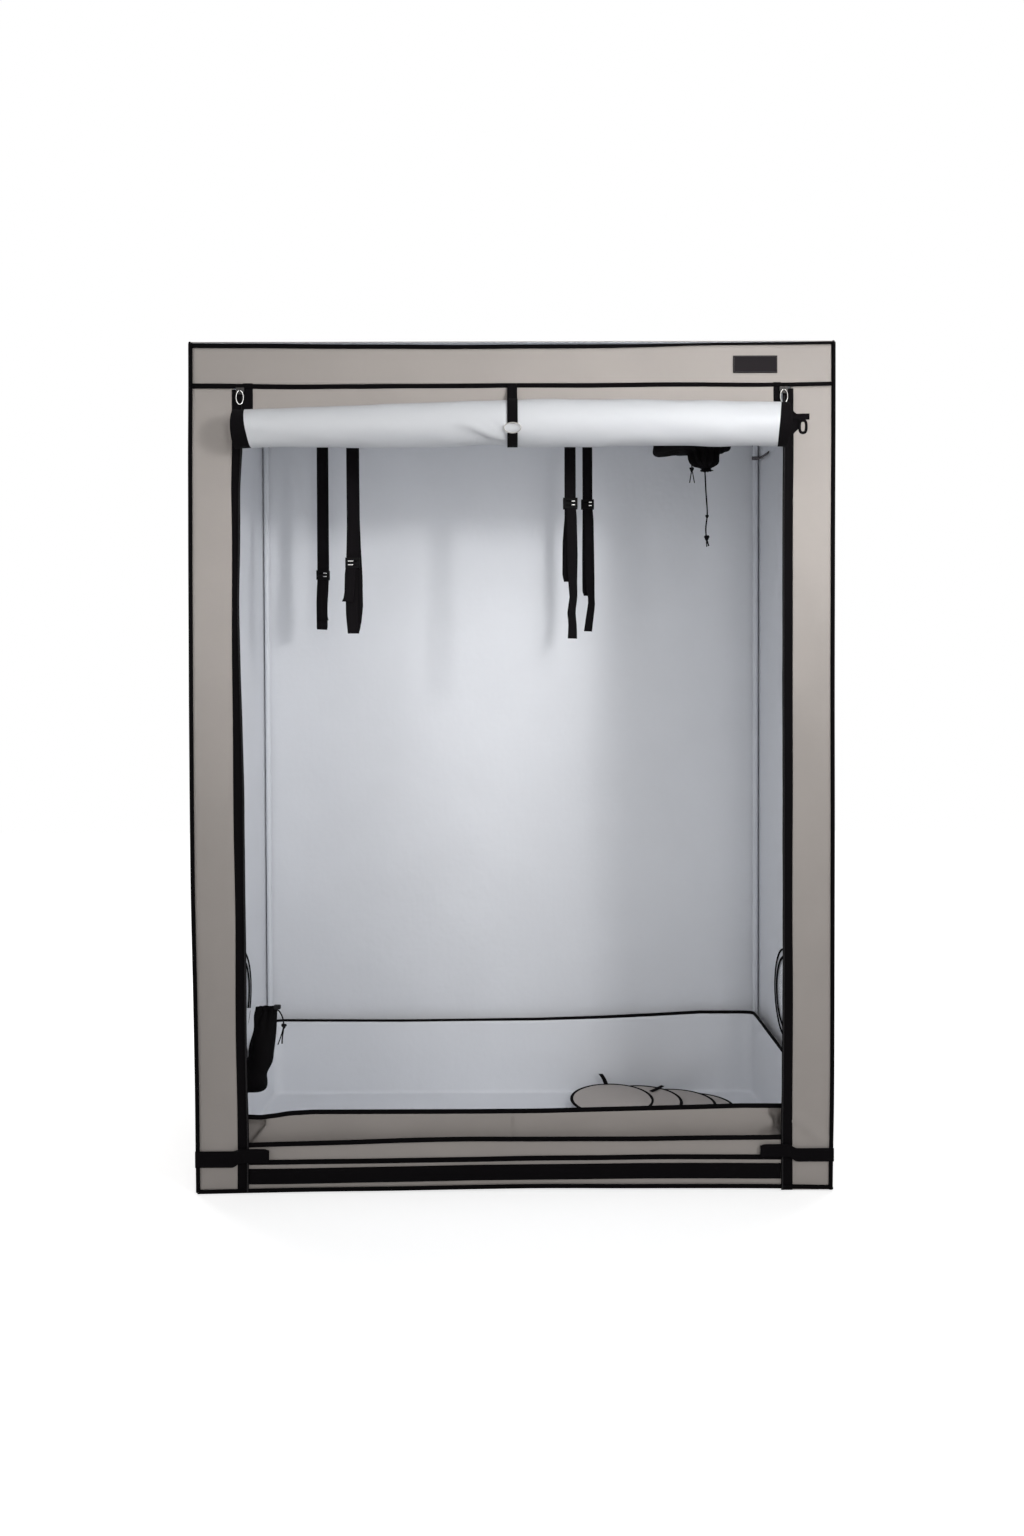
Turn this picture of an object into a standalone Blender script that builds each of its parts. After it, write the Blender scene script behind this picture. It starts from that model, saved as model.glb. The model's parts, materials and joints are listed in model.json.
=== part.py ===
# Indoor grow tent with its door rolled up: tube frame, fabric cover, spill tray, hanging gear.
# Metres, +Z up. The origin is the middle of the floor's underside and the door faces -Y.

import math

import bmesh
import bpy
from mathutils import Euler, Matrix, Vector

# Overall size of the cover
WIDTH = 1.50
DEPTH = 0.80
HEIGHT = 2.00

# Fits and cutters
GAP = 0.0003
OVERRUN = 0.01
WELD = 0.000005

# Frame tubes and corner joints
TUBE_RADIUS = 0.008
TUBE_WALL = 0.001
TUBE_SEAT = 0.012
SOCKET_WALL = 0.0025
SOCKET_REACH = 0.030
ROUND_SIDES = 16

# Cover cloth and the front's sewn panels
CLOTH = 0.0016
HEADER_DEPTH = 0.1027
SILL_HEIGHT = 0.128
JAMB_WIDTH = 0.100

# Side vents, cable hole and roof port
VENT_RADIUS = 0.105
VENT_HEIGHT = 0.373
VENT_DEPTH = 0.045
PORT_INSET = 0.266
PORT_DEPTH = 0.0
HOLE_SIDES = 32

# Zips
ZIP_TAPE = 0.027
ZIP_TAPE_CLOTH = 0.0012
ZIP_SHIFT = 0.0065
ZIP_TOP_ROOM = 0.0083
SLIDER_WIDE = 0.019
SLIDER_TALL = 0.015
SLIDER_THICK = 0.0054
SLIDER_DROP = 0.0128
SLIDER_FOOT_SHARE = 0.62
SLIDER_PLACE_SHARE = 0.3667
ARCH_WIRE = 0.0009
ARCH_REACH = 0.0042
ARCH_HALF = 0.0030
PULL_WIRE = 0.0010
PULL_WIDE = 0.0085
PULL_LONG = 0.0160
PULL_STANDOFF = 0.0022

# Hook band across the sill
BAND_LOW = 0.033
BAND_HIGH = 0.067
BAND_CLOTH = 0.0015

# Rolled door
ROLL_SETBACK = 0.015
ROLL_RADIUS = 0.0503
ROLL_DROP = 0.1073
ROLL_STANDOFF = 0.0155
ROLL_PITCH = 0.0045
ROLL_TURNS = 9
ROLL_POINTS = 16
FLAP_ROOM = 0.008
FLAP_LAP = 0.008
FLAP_DROP = 0.008
ROLL_NOTCH = 0.090

# Roll strap and its ring
HOLDER_WIDE = 0.024
HOLDER_CLOTH = 0.0015
HOLDER_TURN_SHARE = 0.62
RING_TURN_SHARE = 0.42
RING_WIDE = 0.0205
RING_TALL = 0.0125
RING_WIRE = 0.0020

# Crossbars
BAR_SETBACK = 0.200
CLIP_WIDE = 0.024
CLIP_MOUTH = 0.013
CLIP_SOCKET = 0.045

# Hanging straps and buckles
WEBBING_WIDE = 0.030
WEBBING = 0.0015
LAYER_HALF = 0.0030
TAIL_SPACE = 0.0045
CONVERGE = 0.060
FOLD_DROP = 0.010
STITCH_RISE = 0.008
BUCKLE_TALL = 0.026
BUCKLE_WALL = 0.0024
BUCKLE_ROOM = 0.0006
SLOT_TALL = 0.004
SLOT_WIDE = 0.022
SLOT_PITCH = 0.010

# Name, which bar, place along it as a share of the width, then drops below the bar as shares of the height:
# buckle, loop's end, tail's end
STRAP_SHARES = (
    ("front_left", -1, -0.2668, 0.2360, 0.3235, 0.2845),
    ("rear_left", 1, -0.3587, 0.2215, 0.2985, 0.2860),
    ("front_right", -1, 0.0973, 0.1620, 0.2595, 0.3315),
    ("rear_right", 1, 0.1447, 0.1220, 0.2515, 0.3030),
)

# Spill tray
TRAY_ROOM = 0.0009
TRAY_BACK = 0.240
TRAY_FRONT_LEFT = 0.172
TRAY_FRONT_RIGHT = 0.194
TRAY_CORNER = 0.022
TRAY_SAG = 0.006
TRAY_WAVES = 3
RIM_CURVE = 0.5

# Port covers, stacked like a fan in the tray
COVER_RADIUS = 0.120
COVER_PIPING = 0.0035
COVER_DOME = 0.0055
COVER_CLOTH = 0.0020
COVER_SETBACK = 0.032
COVER_INSET = 0.102
COVER_FAN_SHARES = (0.0, 0.692, 1.417, 1.800)
COVER_RING_SHARES = (0.0, 0.4, 0.75)
COVER_STEPS = 28

# Roof sleeve, drawn shut round its bunch
SLEEVE_RADIUS = 0.100
SLEEVE_DROP = 0.146
SLEEVE_FOLD = 0.0045
SLEEVE_FOLDS = 9
BUNCH_RADIUS = 0.033
BUNCH_DROP = 0.060
BUNCH_SHIFT = 0.035

# Its rings from the port down: shares of the radius, the drop, the fold and the bunch's shift
SLEEVE_RING_SHARES = (
    (1.00, 0.00, 0.0, 0.0), (1.00, 0.75, 0.5, 0.0), (0.96, 0.97, 1.0, 0.0), (0.60, 1.00, 1.0, 0.4),
)
BUNCH_RING_SHARES = (
    (1.20, 0.05, 0.8, 0.85), (1.10, 0.35, 0.6, 0.92), (1.062, 0.60, 0.6, 0.95), (0.34, 0.96, 0.3, 1.0),
    (0.28, 1.00, 0.0, 1.0),
)

# Low cable sleeve on the left wall
CABLE_RADIUS = 0.033
CABLE_SETBACK = 0.110
CABLE_HEIGHT = 0.248
CABLE_REACH = 0.131
CABLE_RISE = 0.165
CABLE_BORE = 0.085

# Its rings past the bore: shares of the reach and rise, slant in degrees, shares of the radius both ways
CABLE_RING_SHARES = (
    (0.861, 0.070, 45, 1.25, 1.00), (0.969, 0.300, 82, 0.95, 1.00), (1.015, 0.500, 80, 0.90, 0.80),
    (1.061, 0.879, 80, 0.80, 0.55), (1.076, 1.000, 88, 0.606, 0.242),
)

# Drawcords
CORD_RADIUS = 0.0020
THIN_CORD_RADIUS = 0.0015
ROOF_CORD_FALL = 0.201
SHORT_CORD_FALL = 0.056
SHORT_CORD_SHIFT = 0.036
SHORT_CORD_RISE = 0.0241
CABLE_CORD_FALL = 0.082

# Places along each cord from its exit: across, back and down as shares of its fall
ROOF_CORD_SHARES = (
    (0.000, 0.000, 0.000), (0.001, 0.000, 0.178), (0.003, 0.000, 0.397), (0.005, 0.005, 0.591),
    (0.000, 0.005, 0.762), (0.001, 0.000, 0.898), (0.024, 0.000, 1.000),
)
SHORT_CORD_SHARES = (
    (0.000, 0.000, 0.000), (0.008, 0.000, 0.290), (-0.024, 0.000, 0.570), (-0.097, 0.000, 1.000),
)
CABLE_CORD_SHARES = (
    (0.000, 0.000, 0.000), (0.071, -0.012, -0.012), (0.193, -0.037, 0.073), (0.278, -0.049, 0.256),
    (0.296, -0.049, 0.512), (0.254, -0.049, 0.780), (0.241, -0.049, 1.000),
)

# Places worked out from the sizes above
SOCKET_BORE = TUBE_RADIUS + GAP
ARM_RADIUS = SOCKET_BORE + SOCKET_WALL
INSET = CLOTH + GAP + ARM_RADIUS
CORNER_X = WIDTH / 2 - INSET
CORNER_Y = DEPTH / 2 - INSET
CORNER_LOW = INSET
CORNER_HIGH = HEIGHT - INSET
FLOOR_TOP = CLOTH + GAP
WALL_TOP = HEIGHT - CLOTH - GAP
FRONT = -DEPTH / 2
INNER_X = WIDTH / 2 - CLOTH
HEADER_LOW = HEIGHT - HEADER_DEPTH
DOORWAY_HALF = WIDTH / 2 - JAMB_WIDTH
PORT_ACROSS = WIDTH / 2 - PORT_INSET
ZIP_ACROSS = DOORWAY_HALF - ZIP_SHIFT
ZIP_FRONT = FRONT - GAP - ZIP_TAPE_CLOTH
SLIDER_FRONT = ZIP_FRONT - GAP - SLIDER_THICK
SLIDER_HEIGHT = HEADER_LOW - SLIDER_DROP
ROLL_HALF = DOORWAY_HALF - ROLL_SETBACK
ROLL_HEIGHT = HEADER_LOW - ROLL_DROP
ROLL_REAR = FRONT - ROLL_STANDOFF
ROLL_DEPTH = ROLL_REAR - ROLL_RADIUS
FLAP_HALF = ZIP_ACROSS - ZIP_TAPE / 2 - FLAP_ROOM
BAR_DEPTH = DEPTH / 2 - BAR_SETBACK
BAR_HALF = CORNER_X - ARM_RADIUS - GAP
TRAY_HALF_WIDE = CORNER_X - ARM_RADIUS - CLOTH - TRAY_ROOM
TRAY_HALF_DEEP = CORNER_Y - ARM_RADIUS - CLOTH - TRAY_ROOM
TRAY_FLOOR = FLOOR_TOP + CLOTH
COVER_RING = COVER_RADIUS - COVER_PIPING
COVER_NECK = math.degrees(math.asin(COVER_CLOTH / 2 / COVER_PIPING))
COVER_JOIN = COVER_RING - COVER_PIPING * math.cos(math.radians(COVER_NECK))
COVER_FAN = [COVER_RADIUS * share for share in COVER_FAN_SHARES]
COVER_FIRST = TRAY_HALF_WIDE - COVER_INSET - COVER_RADIUS - COVER_FAN[-1]
COVER_DEEP = TRAY_HALF_DEEP - COVER_SETBACK - COVER_RADIUS
CABLE_DEPTH = FRONT + CABLE_SETBACK
SLEEVE_TOP = WALL_TOP
CABLE_START = GAP - INNER_X

# Colours of the real object: red, green, blue, roughness, metallic
BEIGE = ("beige_cloth", 0.34, 0.31, 0.28, 0.75, 0.0)
WHITE = ("white_cloth", 0.62, 0.64, 0.68, 0.60, 0.0)
BLACK = ("black_webbing", 0.012, 0.011, 0.012, 0.85, 0.0)
TUBE = ("white_tube", 0.70, 0.71, 0.72, 0.35, 0.6)
PLASTIC = ("black_plastic", 0.02, 0.02, 0.02, 0.45, 0.0)
METAL = ("bright_metal", 0.60, 0.60, 0.60, 0.25, 1.0)


def new_collection(name):
    group = bpy.data.collections.new(name)
    bpy.context.scene.collection.children.link(group)
    return group


for leftover in list(bpy.data.objects):
    bpy.data.objects.remove(leftover)
tent = new_collection("indoor_grow_tent")
cutters = new_collection("cutters")


def finish_of(look):
    name, red, green, blue, roughness, metallic = look
    mat = bpy.data.materials.get(name)
    if mat:
        return mat
    mat = bpy.data.materials.new(name)
    mat.use_nodes = True
    shader = mat.node_tree.nodes["Principled BSDF"]
    shader.inputs["Base Color"].default_value = (red, green, blue, 1)
    shader.inputs["Roughness"].default_value = roughness
    shader.inputs["Metallic"].default_value = metallic
    return mat


def add_part(name, data, look, place=Matrix.Identity(4)):
    data.materials.clear()
    data.materials.append(finish_of(look))
    part = bpy.data.objects.new(name, data)
    part.matrix_world = place
    tent.objects.link(part)
    return part


def add_cutter(name, data, place=Matrix.Identity(4)):
    cutter = bpy.data.objects.new(name, data)
    cutter.matrix_world = place
    cutter.hide_render = True
    cutter.display_type = "WIRE"
    cutters.objects.link(cutter)
    return cutter


def to_mesh(bm, name):
    data = bpy.data.meshes.new(name)
    bmesh.ops.recalc_face_normals(bm, faces=bm.faces)
    bm.to_mesh(data)
    bm.free()
    return data


def smooth(data, degrees=40):
    data.shade_smooth()
    data.set_sharp_from_angle(angle=math.radians(degrees))
    return data


def box_mesh(name, low, high):
    bm = bmesh.new()
    bmesh.ops.create_cube(bm, size=1)
    size = Vector(high) - Vector(low)
    bmesh.ops.scale(bm, vec=size, verts=bm.verts)
    bmesh.ops.translate(bm, vec=(Vector(low) + Vector(high)) / 2, verts=bm.verts)
    return to_mesh(bm, name)


def rod_mesh(name, radius, start, end, sides=ROUND_SIDES):
    # A solid cylinder from one point to another.
    start, end = Vector(start), Vector(end)
    turn = Vector((0, 0, 1)).rotation_difference(end - start).to_matrix().to_4x4()
    bm = bmesh.new()
    bmesh.ops.create_cone(
        bm, cap_ends=True, segments=sides, radius1=radius, radius2=radius, depth=(end - start).length,
        matrix=Matrix.Translation((start + end) / 2) @ turn,
    )
    return to_mesh(bm, name)


def combine(name, base, steps):
    # Applies Boolean steps, each ("UNION" or "DIFFERENCE", mesh), and returns the finished mesh.
    work = bpy.data.objects.new(name, base)
    tent.objects.link(work)
    tools = []
    for index, (operation, data) in enumerate(steps):
        tool = add_cutter(f"{name}_tool_{index}", data)
        modifier = work.modifiers.new(operation.title(), "BOOLEAN")
        modifier.operation = operation
        modifier.object = tool
        tools.append(tool)
    bpy.context.view_layer.update()
    graph = bpy.context.evaluated_depsgraph_get()
    result = bpy.data.meshes.new_from_object(work.evaluated_get(graph))
    result.name = name
    for spare in [work, *tools]:
        bpy.data.objects.remove(spare)
    return result


def curve_mesh(name, curve, place=Matrix.Identity(4)):
    # The curve's evaluated surface as a welded mesh.
    holder = bpy.data.objects.new(name, curve)
    tent.objects.link(holder)
    bpy.context.view_layer.update()
    graph = bpy.context.evaluated_depsgraph_get()
    data = bpy.data.meshes.new_from_object(holder.evaluated_get(graph))
    bpy.data.objects.remove(holder)
    bm = bmesh.new()
    bm.from_mesh(data)
    bmesh.ops.remove_doubles(bm, verts=bm.verts, dist=WELD)
    bmesh.ops.transform(bm, matrix=place, verts=bm.verts)
    return to_mesh(bm, name)


def outline_mesh(name, outline, half_width, place):
    # A closed flat outline extruded both ways from its plane.
    curve = bpy.data.curves.new(name, "CURVE")
    curve.dimensions = "2D"
    curve.fill_mode = "BOTH"
    curve.extrude = half_width
    spline = curve.splines.new("POLY")
    spline.points.add(len(outline) - 1)
    for point, (u, v) in zip(spline.points, outline):
        point.co = (u, v, 0, 1)
    spline.use_cyclic_u = True
    return curve_mesh(name, curve, place)


def wire_mesh(name, points, radius, closed=False, sides=2, place=Matrix.Identity(4)):
    curve = bpy.data.curves.new(name, "CURVE")
    curve.dimensions = "3D"
    curve.bevel_depth = radius
    curve.bevel_resolution = sides
    curve.use_fill_caps = True
    spline = curve.splines.new("POLY")
    spline.points.add(len(points) - 1)
    for point, place_of in zip(spline.points, points):
        point.co = (*place_of, 1)
    spline.use_cyclic_u = closed
    return smooth(curve_mesh(name, curve, place))


# Local X, Y and Z of a side profile become the tent's Y, Z and X.
SIDE_PLANE = Matrix(((0, 0, 1, 0), (1, 0, 0, 0), (0, 1, 0, 0), (0, 0, 0, 1)))


def arc(centre, radius, start, end, count):
    # Points on a circle from one angle to another, in degrees.
    angles = [math.radians(start + (end - start) * i / (count - 1)) for i in range(count)]
    return [(centre[0] + radius * math.cos(a), centre[1] + radius * math.sin(a)) for a in angles]


def ribbon_outline(path, thickness):
    # Both sides of a flat strip that follows a path, mitred at its points.
    points = [Vector(p) for p in path]
    left, right = [], []
    for i, point in enumerate(points):
        before = (point - points[i - 1]).normalized() if i else None
        after = (points[i + 1] - point).normalized() if i + 1 < len(points) else None
        before, after = before or after, after or before
        along = (before + after).normalized()
        side = Vector((-along.y, along.x)) * (thickness / 2 / along.dot(after))
        left.append(tuple(point + side))
        right.append(tuple(point - side))
    return left + right[::-1]


def smooth_route(points, spacing):
    # Evenly spaced points on a Catmull-Rom curve through the route's own points.
    knots = [Vector(p) for p in points]
    knots = [2 * knots[0] - knots[1], *knots, 2 * knots[-1] - knots[-2]]
    fine = []
    steps = 24
    for a, b, c, d in zip(knots, knots[1:], knots[2:], knots[3:]):
        for i in range(steps):
            t = i / steps
            fine.append(
                (2 * b + (c - a) * t + (2 * a - 5 * b + 4 * c - d) * t**2 + (3 * b - a - 3 * c + d) * t**3) / 2
            )
    fine.append(knots[-2])
    total = sum((q - p).length for p, q in zip(fine, fine[1:]))
    count = max(2, round(total / spacing))
    route, walked, target = [fine[0]], 0.0, total / count
    for p, q in zip(fine, fine[1:]):
        step = (q - p).length
        while step and walked + step >= target - WELD and len(route) < count:
            route.append(p.lerp(q, (target - walked) / step))
            target += total / count
        walked += step
    return route + [fine[-1]]


def hollow_tube(name, start, end, look):
    # A thin round tube, turned from its wall's profile and laid between two points.
    start, end = Vector(start), Vector(end)
    half = (end - start).length / 2
    bm = bmesh.new()
    inner = TUBE_RADIUS - TUBE_WALL
    corners = ((TUBE_RADIUS, half), (TUBE_RADIUS, -half), (inner, -half), (inner, half))
    verts = [bm.verts.new((r, 0, z)) for r, z in corners]
    for i, vert in enumerate(verts):
        bm.edges.new((vert, verts[(i + 1) % len(verts)]))
    data = bpy.data.meshes.new(name)
    bm.to_mesh(data)
    bm.free()
    turn = Vector((0, 0, 1)).rotation_difference(end - start).to_matrix().to_4x4()
    tube = add_part(name, data, look, Matrix.Translation((start + end) / 2) @ turn)
    screw = tube.modifiers.new("Turn", "SCREW")
    screw.steps = ROUND_SIDES
    screw.render_steps = ROUND_SIDES
    screw.use_merge_vertices = True
    screw.merge_threshold = WELD
    screw.use_smooth_shade = True
    return tube


def corner_joint_mesh():
    # Three sockets that meet in a rounded corner, bored for the tubes.
    reach = SOCKET_REACH
    axes = [Vector(axis) for axis in ((1, 0, 0), (0, 1, 0), (0, 0, 1))]
    ball = bmesh.new()
    bmesh.ops.create_uvsphere(ball, u_segments=ROUND_SIDES, v_segments=ROUND_SIDES // 2, radius=ARM_RADIUS)
    arms = [rod_mesh("arm", ARM_RADIUS, Vector(), axis * reach) for axis in axes]
    depth = TUBE_SEAT - GAP
    bores = [rod_mesh("bore", SOCKET_BORE, axis * depth, axis * (reach + OVERRUN)) for axis in axes]
    steps = [("UNION", arms[1]), ("UNION", arms[2]), ("UNION", to_mesh(ball, "ball"))]
    steps += [("DIFFERENCE", bore) for bore in bores]
    return smooth(combine("corner_joint", arms[0], steps))


def add_frame():
    # Eight corner joints with equal arms, so each corner is one mesh turned to suit.
    joint = corner_joint_mesh()
    turns = (
        ("front_left", -1, -1, 0), ("front_right", 1, -1, 90), ("back_right", 1, 1, 180), ("back_left", -1, 1, 270),
    )
    for place, side, back, degrees in turns:
        spot = Vector((side * CORNER_X, back * CORNER_Y, 0))
        turn = Matrix.Rotation(math.radians(degrees), 4, "Z")
        low = Matrix.Translation(spot + Vector((0, 0, CORNER_LOW))) @ turn
        add_part(f"floor_corner_{place}", joint, PLASTIC, low)
        over = Euler((math.pi, 0, math.radians(degrees + 90))).to_matrix().to_4x4()
        high = Matrix.Translation(spot + Vector((0, 0, CORNER_HIGH))) @ over
        add_part(f"roof_corner_{place}", joint, PLASTIC, high)
        foot = spot + Vector((0, 0, CORNER_LOW + TUBE_SEAT))
        head = spot + Vector((0, 0, CORNER_HIGH - TUBE_SEAT))
        hollow_tube(f"upright_{place}", foot, head, TUBE)
    end_x, end_y = CORNER_X - TUBE_SEAT, CORNER_Y - TUBE_SEAT
    for level, z in (("floor", CORNER_LOW), ("roof", CORNER_HIGH)):
        for side, y in (("front", -CORNER_Y), ("back", CORNER_Y)):
            hollow_tube(f"{level}_rail_{side}", (-end_x, y, z), (end_x, y, z), TUBE)
        for side, x in (("left", -CORNER_X), ("right", CORNER_X)):
            hollow_tube(f"{level}_rail_{side}", (x, -end_y, z), (x, end_y, z), TUBE)


def add_cover():
    # Roof and floor span the whole plan. The side walls stand between them, and the rest between those.
    add_part("floor_panel", box_mesh("floor_panel", (-WIDTH / 2, FRONT, 0), (WIDTH / 2, -FRONT, CLOTH)), BEIGE)
    roof = box_mesh("roof_panel", (-WIDTH / 2, FRONT, HEIGHT - CLOTH), (WIDTH / 2, -FRONT, HEIGHT))
    seat = SLEEVE_RADIUS - 2 * CLOTH
    port = (PORT_ACROSS, PORT_DEPTH)
    hole = rod_mesh("port", seat, (*port, HEIGHT - OVERRUN), (*port, HEIGHT + OVERRUN), HOLE_SIDES)
    add_part("roof_panel", combine("roof_panel", roof, [("DIFFERENCE", hole)]), BEIGE)
    for name, side in (("left_panel", -1), ("right_panel", 1)):
        ends = sorted((side * WIDTH / 2, side * INNER_X))
        wall = box_mesh(name, (ends[0], FRONT, FLOOR_TOP), (ends[1], -FRONT, WALL_TOP))
        near, far = ends[0] - OVERRUN, ends[1] + OVERRUN
        vent = (VENT_DEPTH, VENT_HEIGHT)
        steps = [("DIFFERENCE", rod_mesh("vent", VENT_RADIUS, (near, *vent), (far, *vent), HOLE_SIDES))]
        if side < 0:
            cable = (CABLE_DEPTH, CABLE_HEIGHT)
            bore = CABLE_RADIUS - CLOTH
            hole = rod_mesh("cable", bore, (near, *cable), (far, *cable), HOLE_SIDES // 2)
            steps.append(("DIFFERENCE", hole))
        add_part(name, combine(name, wall, steps), BEIGE)
    edge = INNER_X - GAP
    jamb_in = DOORWAY_HALF
    inner_front = FRONT + CLOTH
    panels = (
        ("back_panel", (-edge, -inner_front, FLOOR_TOP), (edge, -FRONT, WALL_TOP)),
        ("header_panel", (-edge, FRONT, HEADER_LOW), (edge, inner_front, WALL_TOP)),
        ("jamb_left", (-edge, FRONT, FLOOR_TOP), (-jamb_in, inner_front, HEADER_LOW - GAP)),
        ("jamb_right", (jamb_in, FRONT, FLOOR_TOP), (edge, inner_front, HEADER_LOW - GAP)),
        ("sill_panel", (-jamb_in + GAP, FRONT, FLOOR_TOP), (jamb_in - GAP, inner_front, SILL_HEIGHT)),
    )
    for name, low, high in panels:
        add_part(name, box_mesh(name, low, high), BEIGE)
    band_edge = ZIP_ACROSS - ZIP_TAPE / 2 - GAP
    band_low = (-band_edge, FRONT - GAP - BAND_CLOTH, BAND_LOW)
    add_part("hook_band", box_mesh("hook_band", band_low, (band_edge, FRONT - GAP, BAND_HIGH)), BLACK)


def slider_mesh():
    # A wedge that narrows downwards, with a wire arch on its face for the pull.
    top, half = SLIDER_TALL / 2, SLIDER_WIDE / 2
    low = half * SLIDER_FOOT_SHARE
    outline = [(-half, top), (-half, 0), (-low, -top), (low, -top), (half, 0), (half, top)]
    upright = Matrix(((1, 0, 0, 0), (0, 0, 1, 0), (0, 1, 0, 0), (0, 0, 0, 1)))
    body = outline_mesh("slider", outline, SLIDER_THICK / 2, upright)
    face = -SLIDER_THICK / 2
    reach, rise = ARCH_REACH, ARCH_HALF
    root = face + 2 * ARCH_WIRE
    far, foot = face - reach, rise + ARCH_WIRE
    bends = [(0, root, foot), (0, far, rise), (0, far, -rise), (0, root, -foot)]
    return combine("slider", body, [("UNION", wire_mesh("arch", bends, ARCH_WIRE))])


def oval(across, down, count, centre=0.0):
    turns = [2 * math.pi * i / count for i in range(count)]
    return [(across * math.sin(a), 0, centre + down * math.cos(a)) for a in turns]


def add_zips():
    tape_low = FLOOR_TOP
    slider = slider_mesh()
    pull = wire_mesh("pull", oval(PULL_WIDE, PULL_LONG, 20, -PULL_LONG), PULL_WIRE, closed=True)
    for name, side in (("left", -1), ("right", 1)):
        ends = (side * ZIP_ACROSS - ZIP_TAPE / 2, side * ZIP_ACROSS + ZIP_TAPE / 2)
        low = (ends[0], ZIP_FRONT, tape_low)
        high = (ends[1], FRONT - GAP, HEADER_LOW - ZIP_TOP_ROOM)
        add_part(f"zip_tape_{name}", box_mesh("zip_tape", low, high), BLACK)
        across = side * (ZIP_ACROSS - ZIP_TAPE * SLIDER_PLACE_SHARE)
        spot = Matrix.Translation((across, SLIDER_FRONT + SLIDER_THICK / 2, SLIDER_HEIGHT))
        add_part(f"zip_slider_{name}", slider, METAL, spot)
        pin = Matrix.Translation((across, SLIDER_FRONT - PULL_STANDOFF, SLIDER_HEIGHT))
        add_part(f"zip_pull_{name}", pull, METAL, pin)


def roll_point(turn, lift=0.0):
    # The door's path: turn 0 is the roll's rear, and it winds under, up the front and inwards.
    angle = -2 * math.pi * turn
    radius = ROLL_RADIUS - CLOTH / 2 - ROLL_PITCH * turn + lift
    return (ROLL_DEPTH + radius * math.cos(angle), ROLL_HEIGHT + radius * math.sin(angle))


def add_door():
    # The sheet hangs from its seam on the header, passes behind the roll and winds inwards.
    seam = FRONT - GAP - CLOTH / 2
    sheet = [(seam, HEADER_LOW + FLAP_LAP), (seam, HEADER_LOW - FLAP_DROP)]
    sheet += [roll_point(i / ROLL_POINTS) for i in range(ROLL_TURNS * ROLL_POINTS + 1)]
    roll = outline_mesh("door_roll", ribbon_outline(sheet, CLOTH), ROLL_HALF, SIDE_PLANE)
    notch_low = ROLL_HEIGHT - ROLL_NOTCH
    steps = []
    for side in (-1, 1):
        ends = sorted((side * FLAP_HALF, side * (ROLL_HALF + OVERRUN)))
        low = (ends[0], ROLL_REAR - CLOTH, notch_low)
        high = (ends[1], FRONT + OVERRUN, HEADER_LOW + FLAP_LAP + OVERRUN)
        steps.append(("DIFFERENCE", box_mesh("notch", low, high)))
    add_part("door_roll", smooth(combine("door_roll", roll, steps), 30), WHITE)

    # The holder strap loops round the roll from the seam and back to it.
    stand = CLOTH / 2 + GAP + HOLDER_CLOTH / 2
    behind = seam + stand
    ahead = seam - stand
    count = round(ROLL_POINTS * HOLDER_TURN_SHARE)
    loop = [(behind, HEADER_LOW - GAP), (behind, HEADER_LOW - FLAP_DROP)]
    loop += [roll_point(i * HOLDER_TURN_SHARE / count, stand) for i in range(count + 1)]
    loop += [(ahead, HEADER_LOW - FLAP_DROP / 2), (ahead, HEADER_LOW + FLAP_LAP)]
    strap = outline_mesh("roll_strap", ribbon_outline(loop, HOLDER_CLOTH), HOLDER_WIDE / 2, SIDE_PLANE)
    add_part("roll_strap", smooth(strap, 30), BLACK)

    # The oval ring lies flat on the strap's front.
    angle = -2 * math.pi * RING_TURN_SHARE
    curl = ROLL_RADIUS - math.sqrt(ROLL_RADIUS**2 - RING_TALL**2)
    y, z = roll_point(RING_TURN_SHARE, stand + HOLDER_CLOTH / 2 + GAP + RING_WIRE - curl)
    ring = wire_mesh("roll_ring", oval(RING_WIDE, RING_TALL, 24), RING_WIRE, closed=True)
    tilt = Matrix.Rotation(angle - math.pi, 4, "X")
    add_part("roll_ring", ring, PLASTIC, Matrix.Translation((0, y, z)) @ tilt)


def crossbar_mesh():
    # A tube with a snap clip at each end, open below, that rides on the side rails.
    bar = rod_mesh("crossbar", TUBE_RADIUS, (-BAR_HALF, 0, 0), (BAR_HALF, 0, 0))
    half, mouth = CLIP_WIDE / 2, CLIP_MOUTH / 2
    steps, cuts = [], []
    for side in (-1, 1):
        rail = side * CORNER_X
        steps.append(("UNION", rod_mesh("clip", ARM_RADIUS, (rail, -half, 0), (rail, half, 0))))
        socket_end = rail - side * CLIP_SOCKET
        socket_start = rail - side * TUBE_RADIUS
        steps.append(("UNION", rod_mesh("socket", ARM_RADIUS, (socket_start, 0, 0), (socket_end, 0, 0))))
        cut = half + OVERRUN
        cuts.append(("DIFFERENCE", rod_mesh("seat", SOCKET_BORE, (rail, -cut, 0), (rail, cut, 0))))
        low, high = (rail - mouth, -cut, -ARM_RADIUS - OVERRUN), (rail + mouth, cut, 0)
        cuts.append(("DIFFERENCE", box_mesh("mouth", low, high)))
    bore = TUBE_RADIUS - TUBE_WALL
    cuts.append(("DIFFERENCE", rod_mesh("hollow", bore, (-CORNER_X, 0, 0), (CORNER_X, 0, 0))))
    return smooth(combine("crossbar", bar, steps + cuts))


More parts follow.
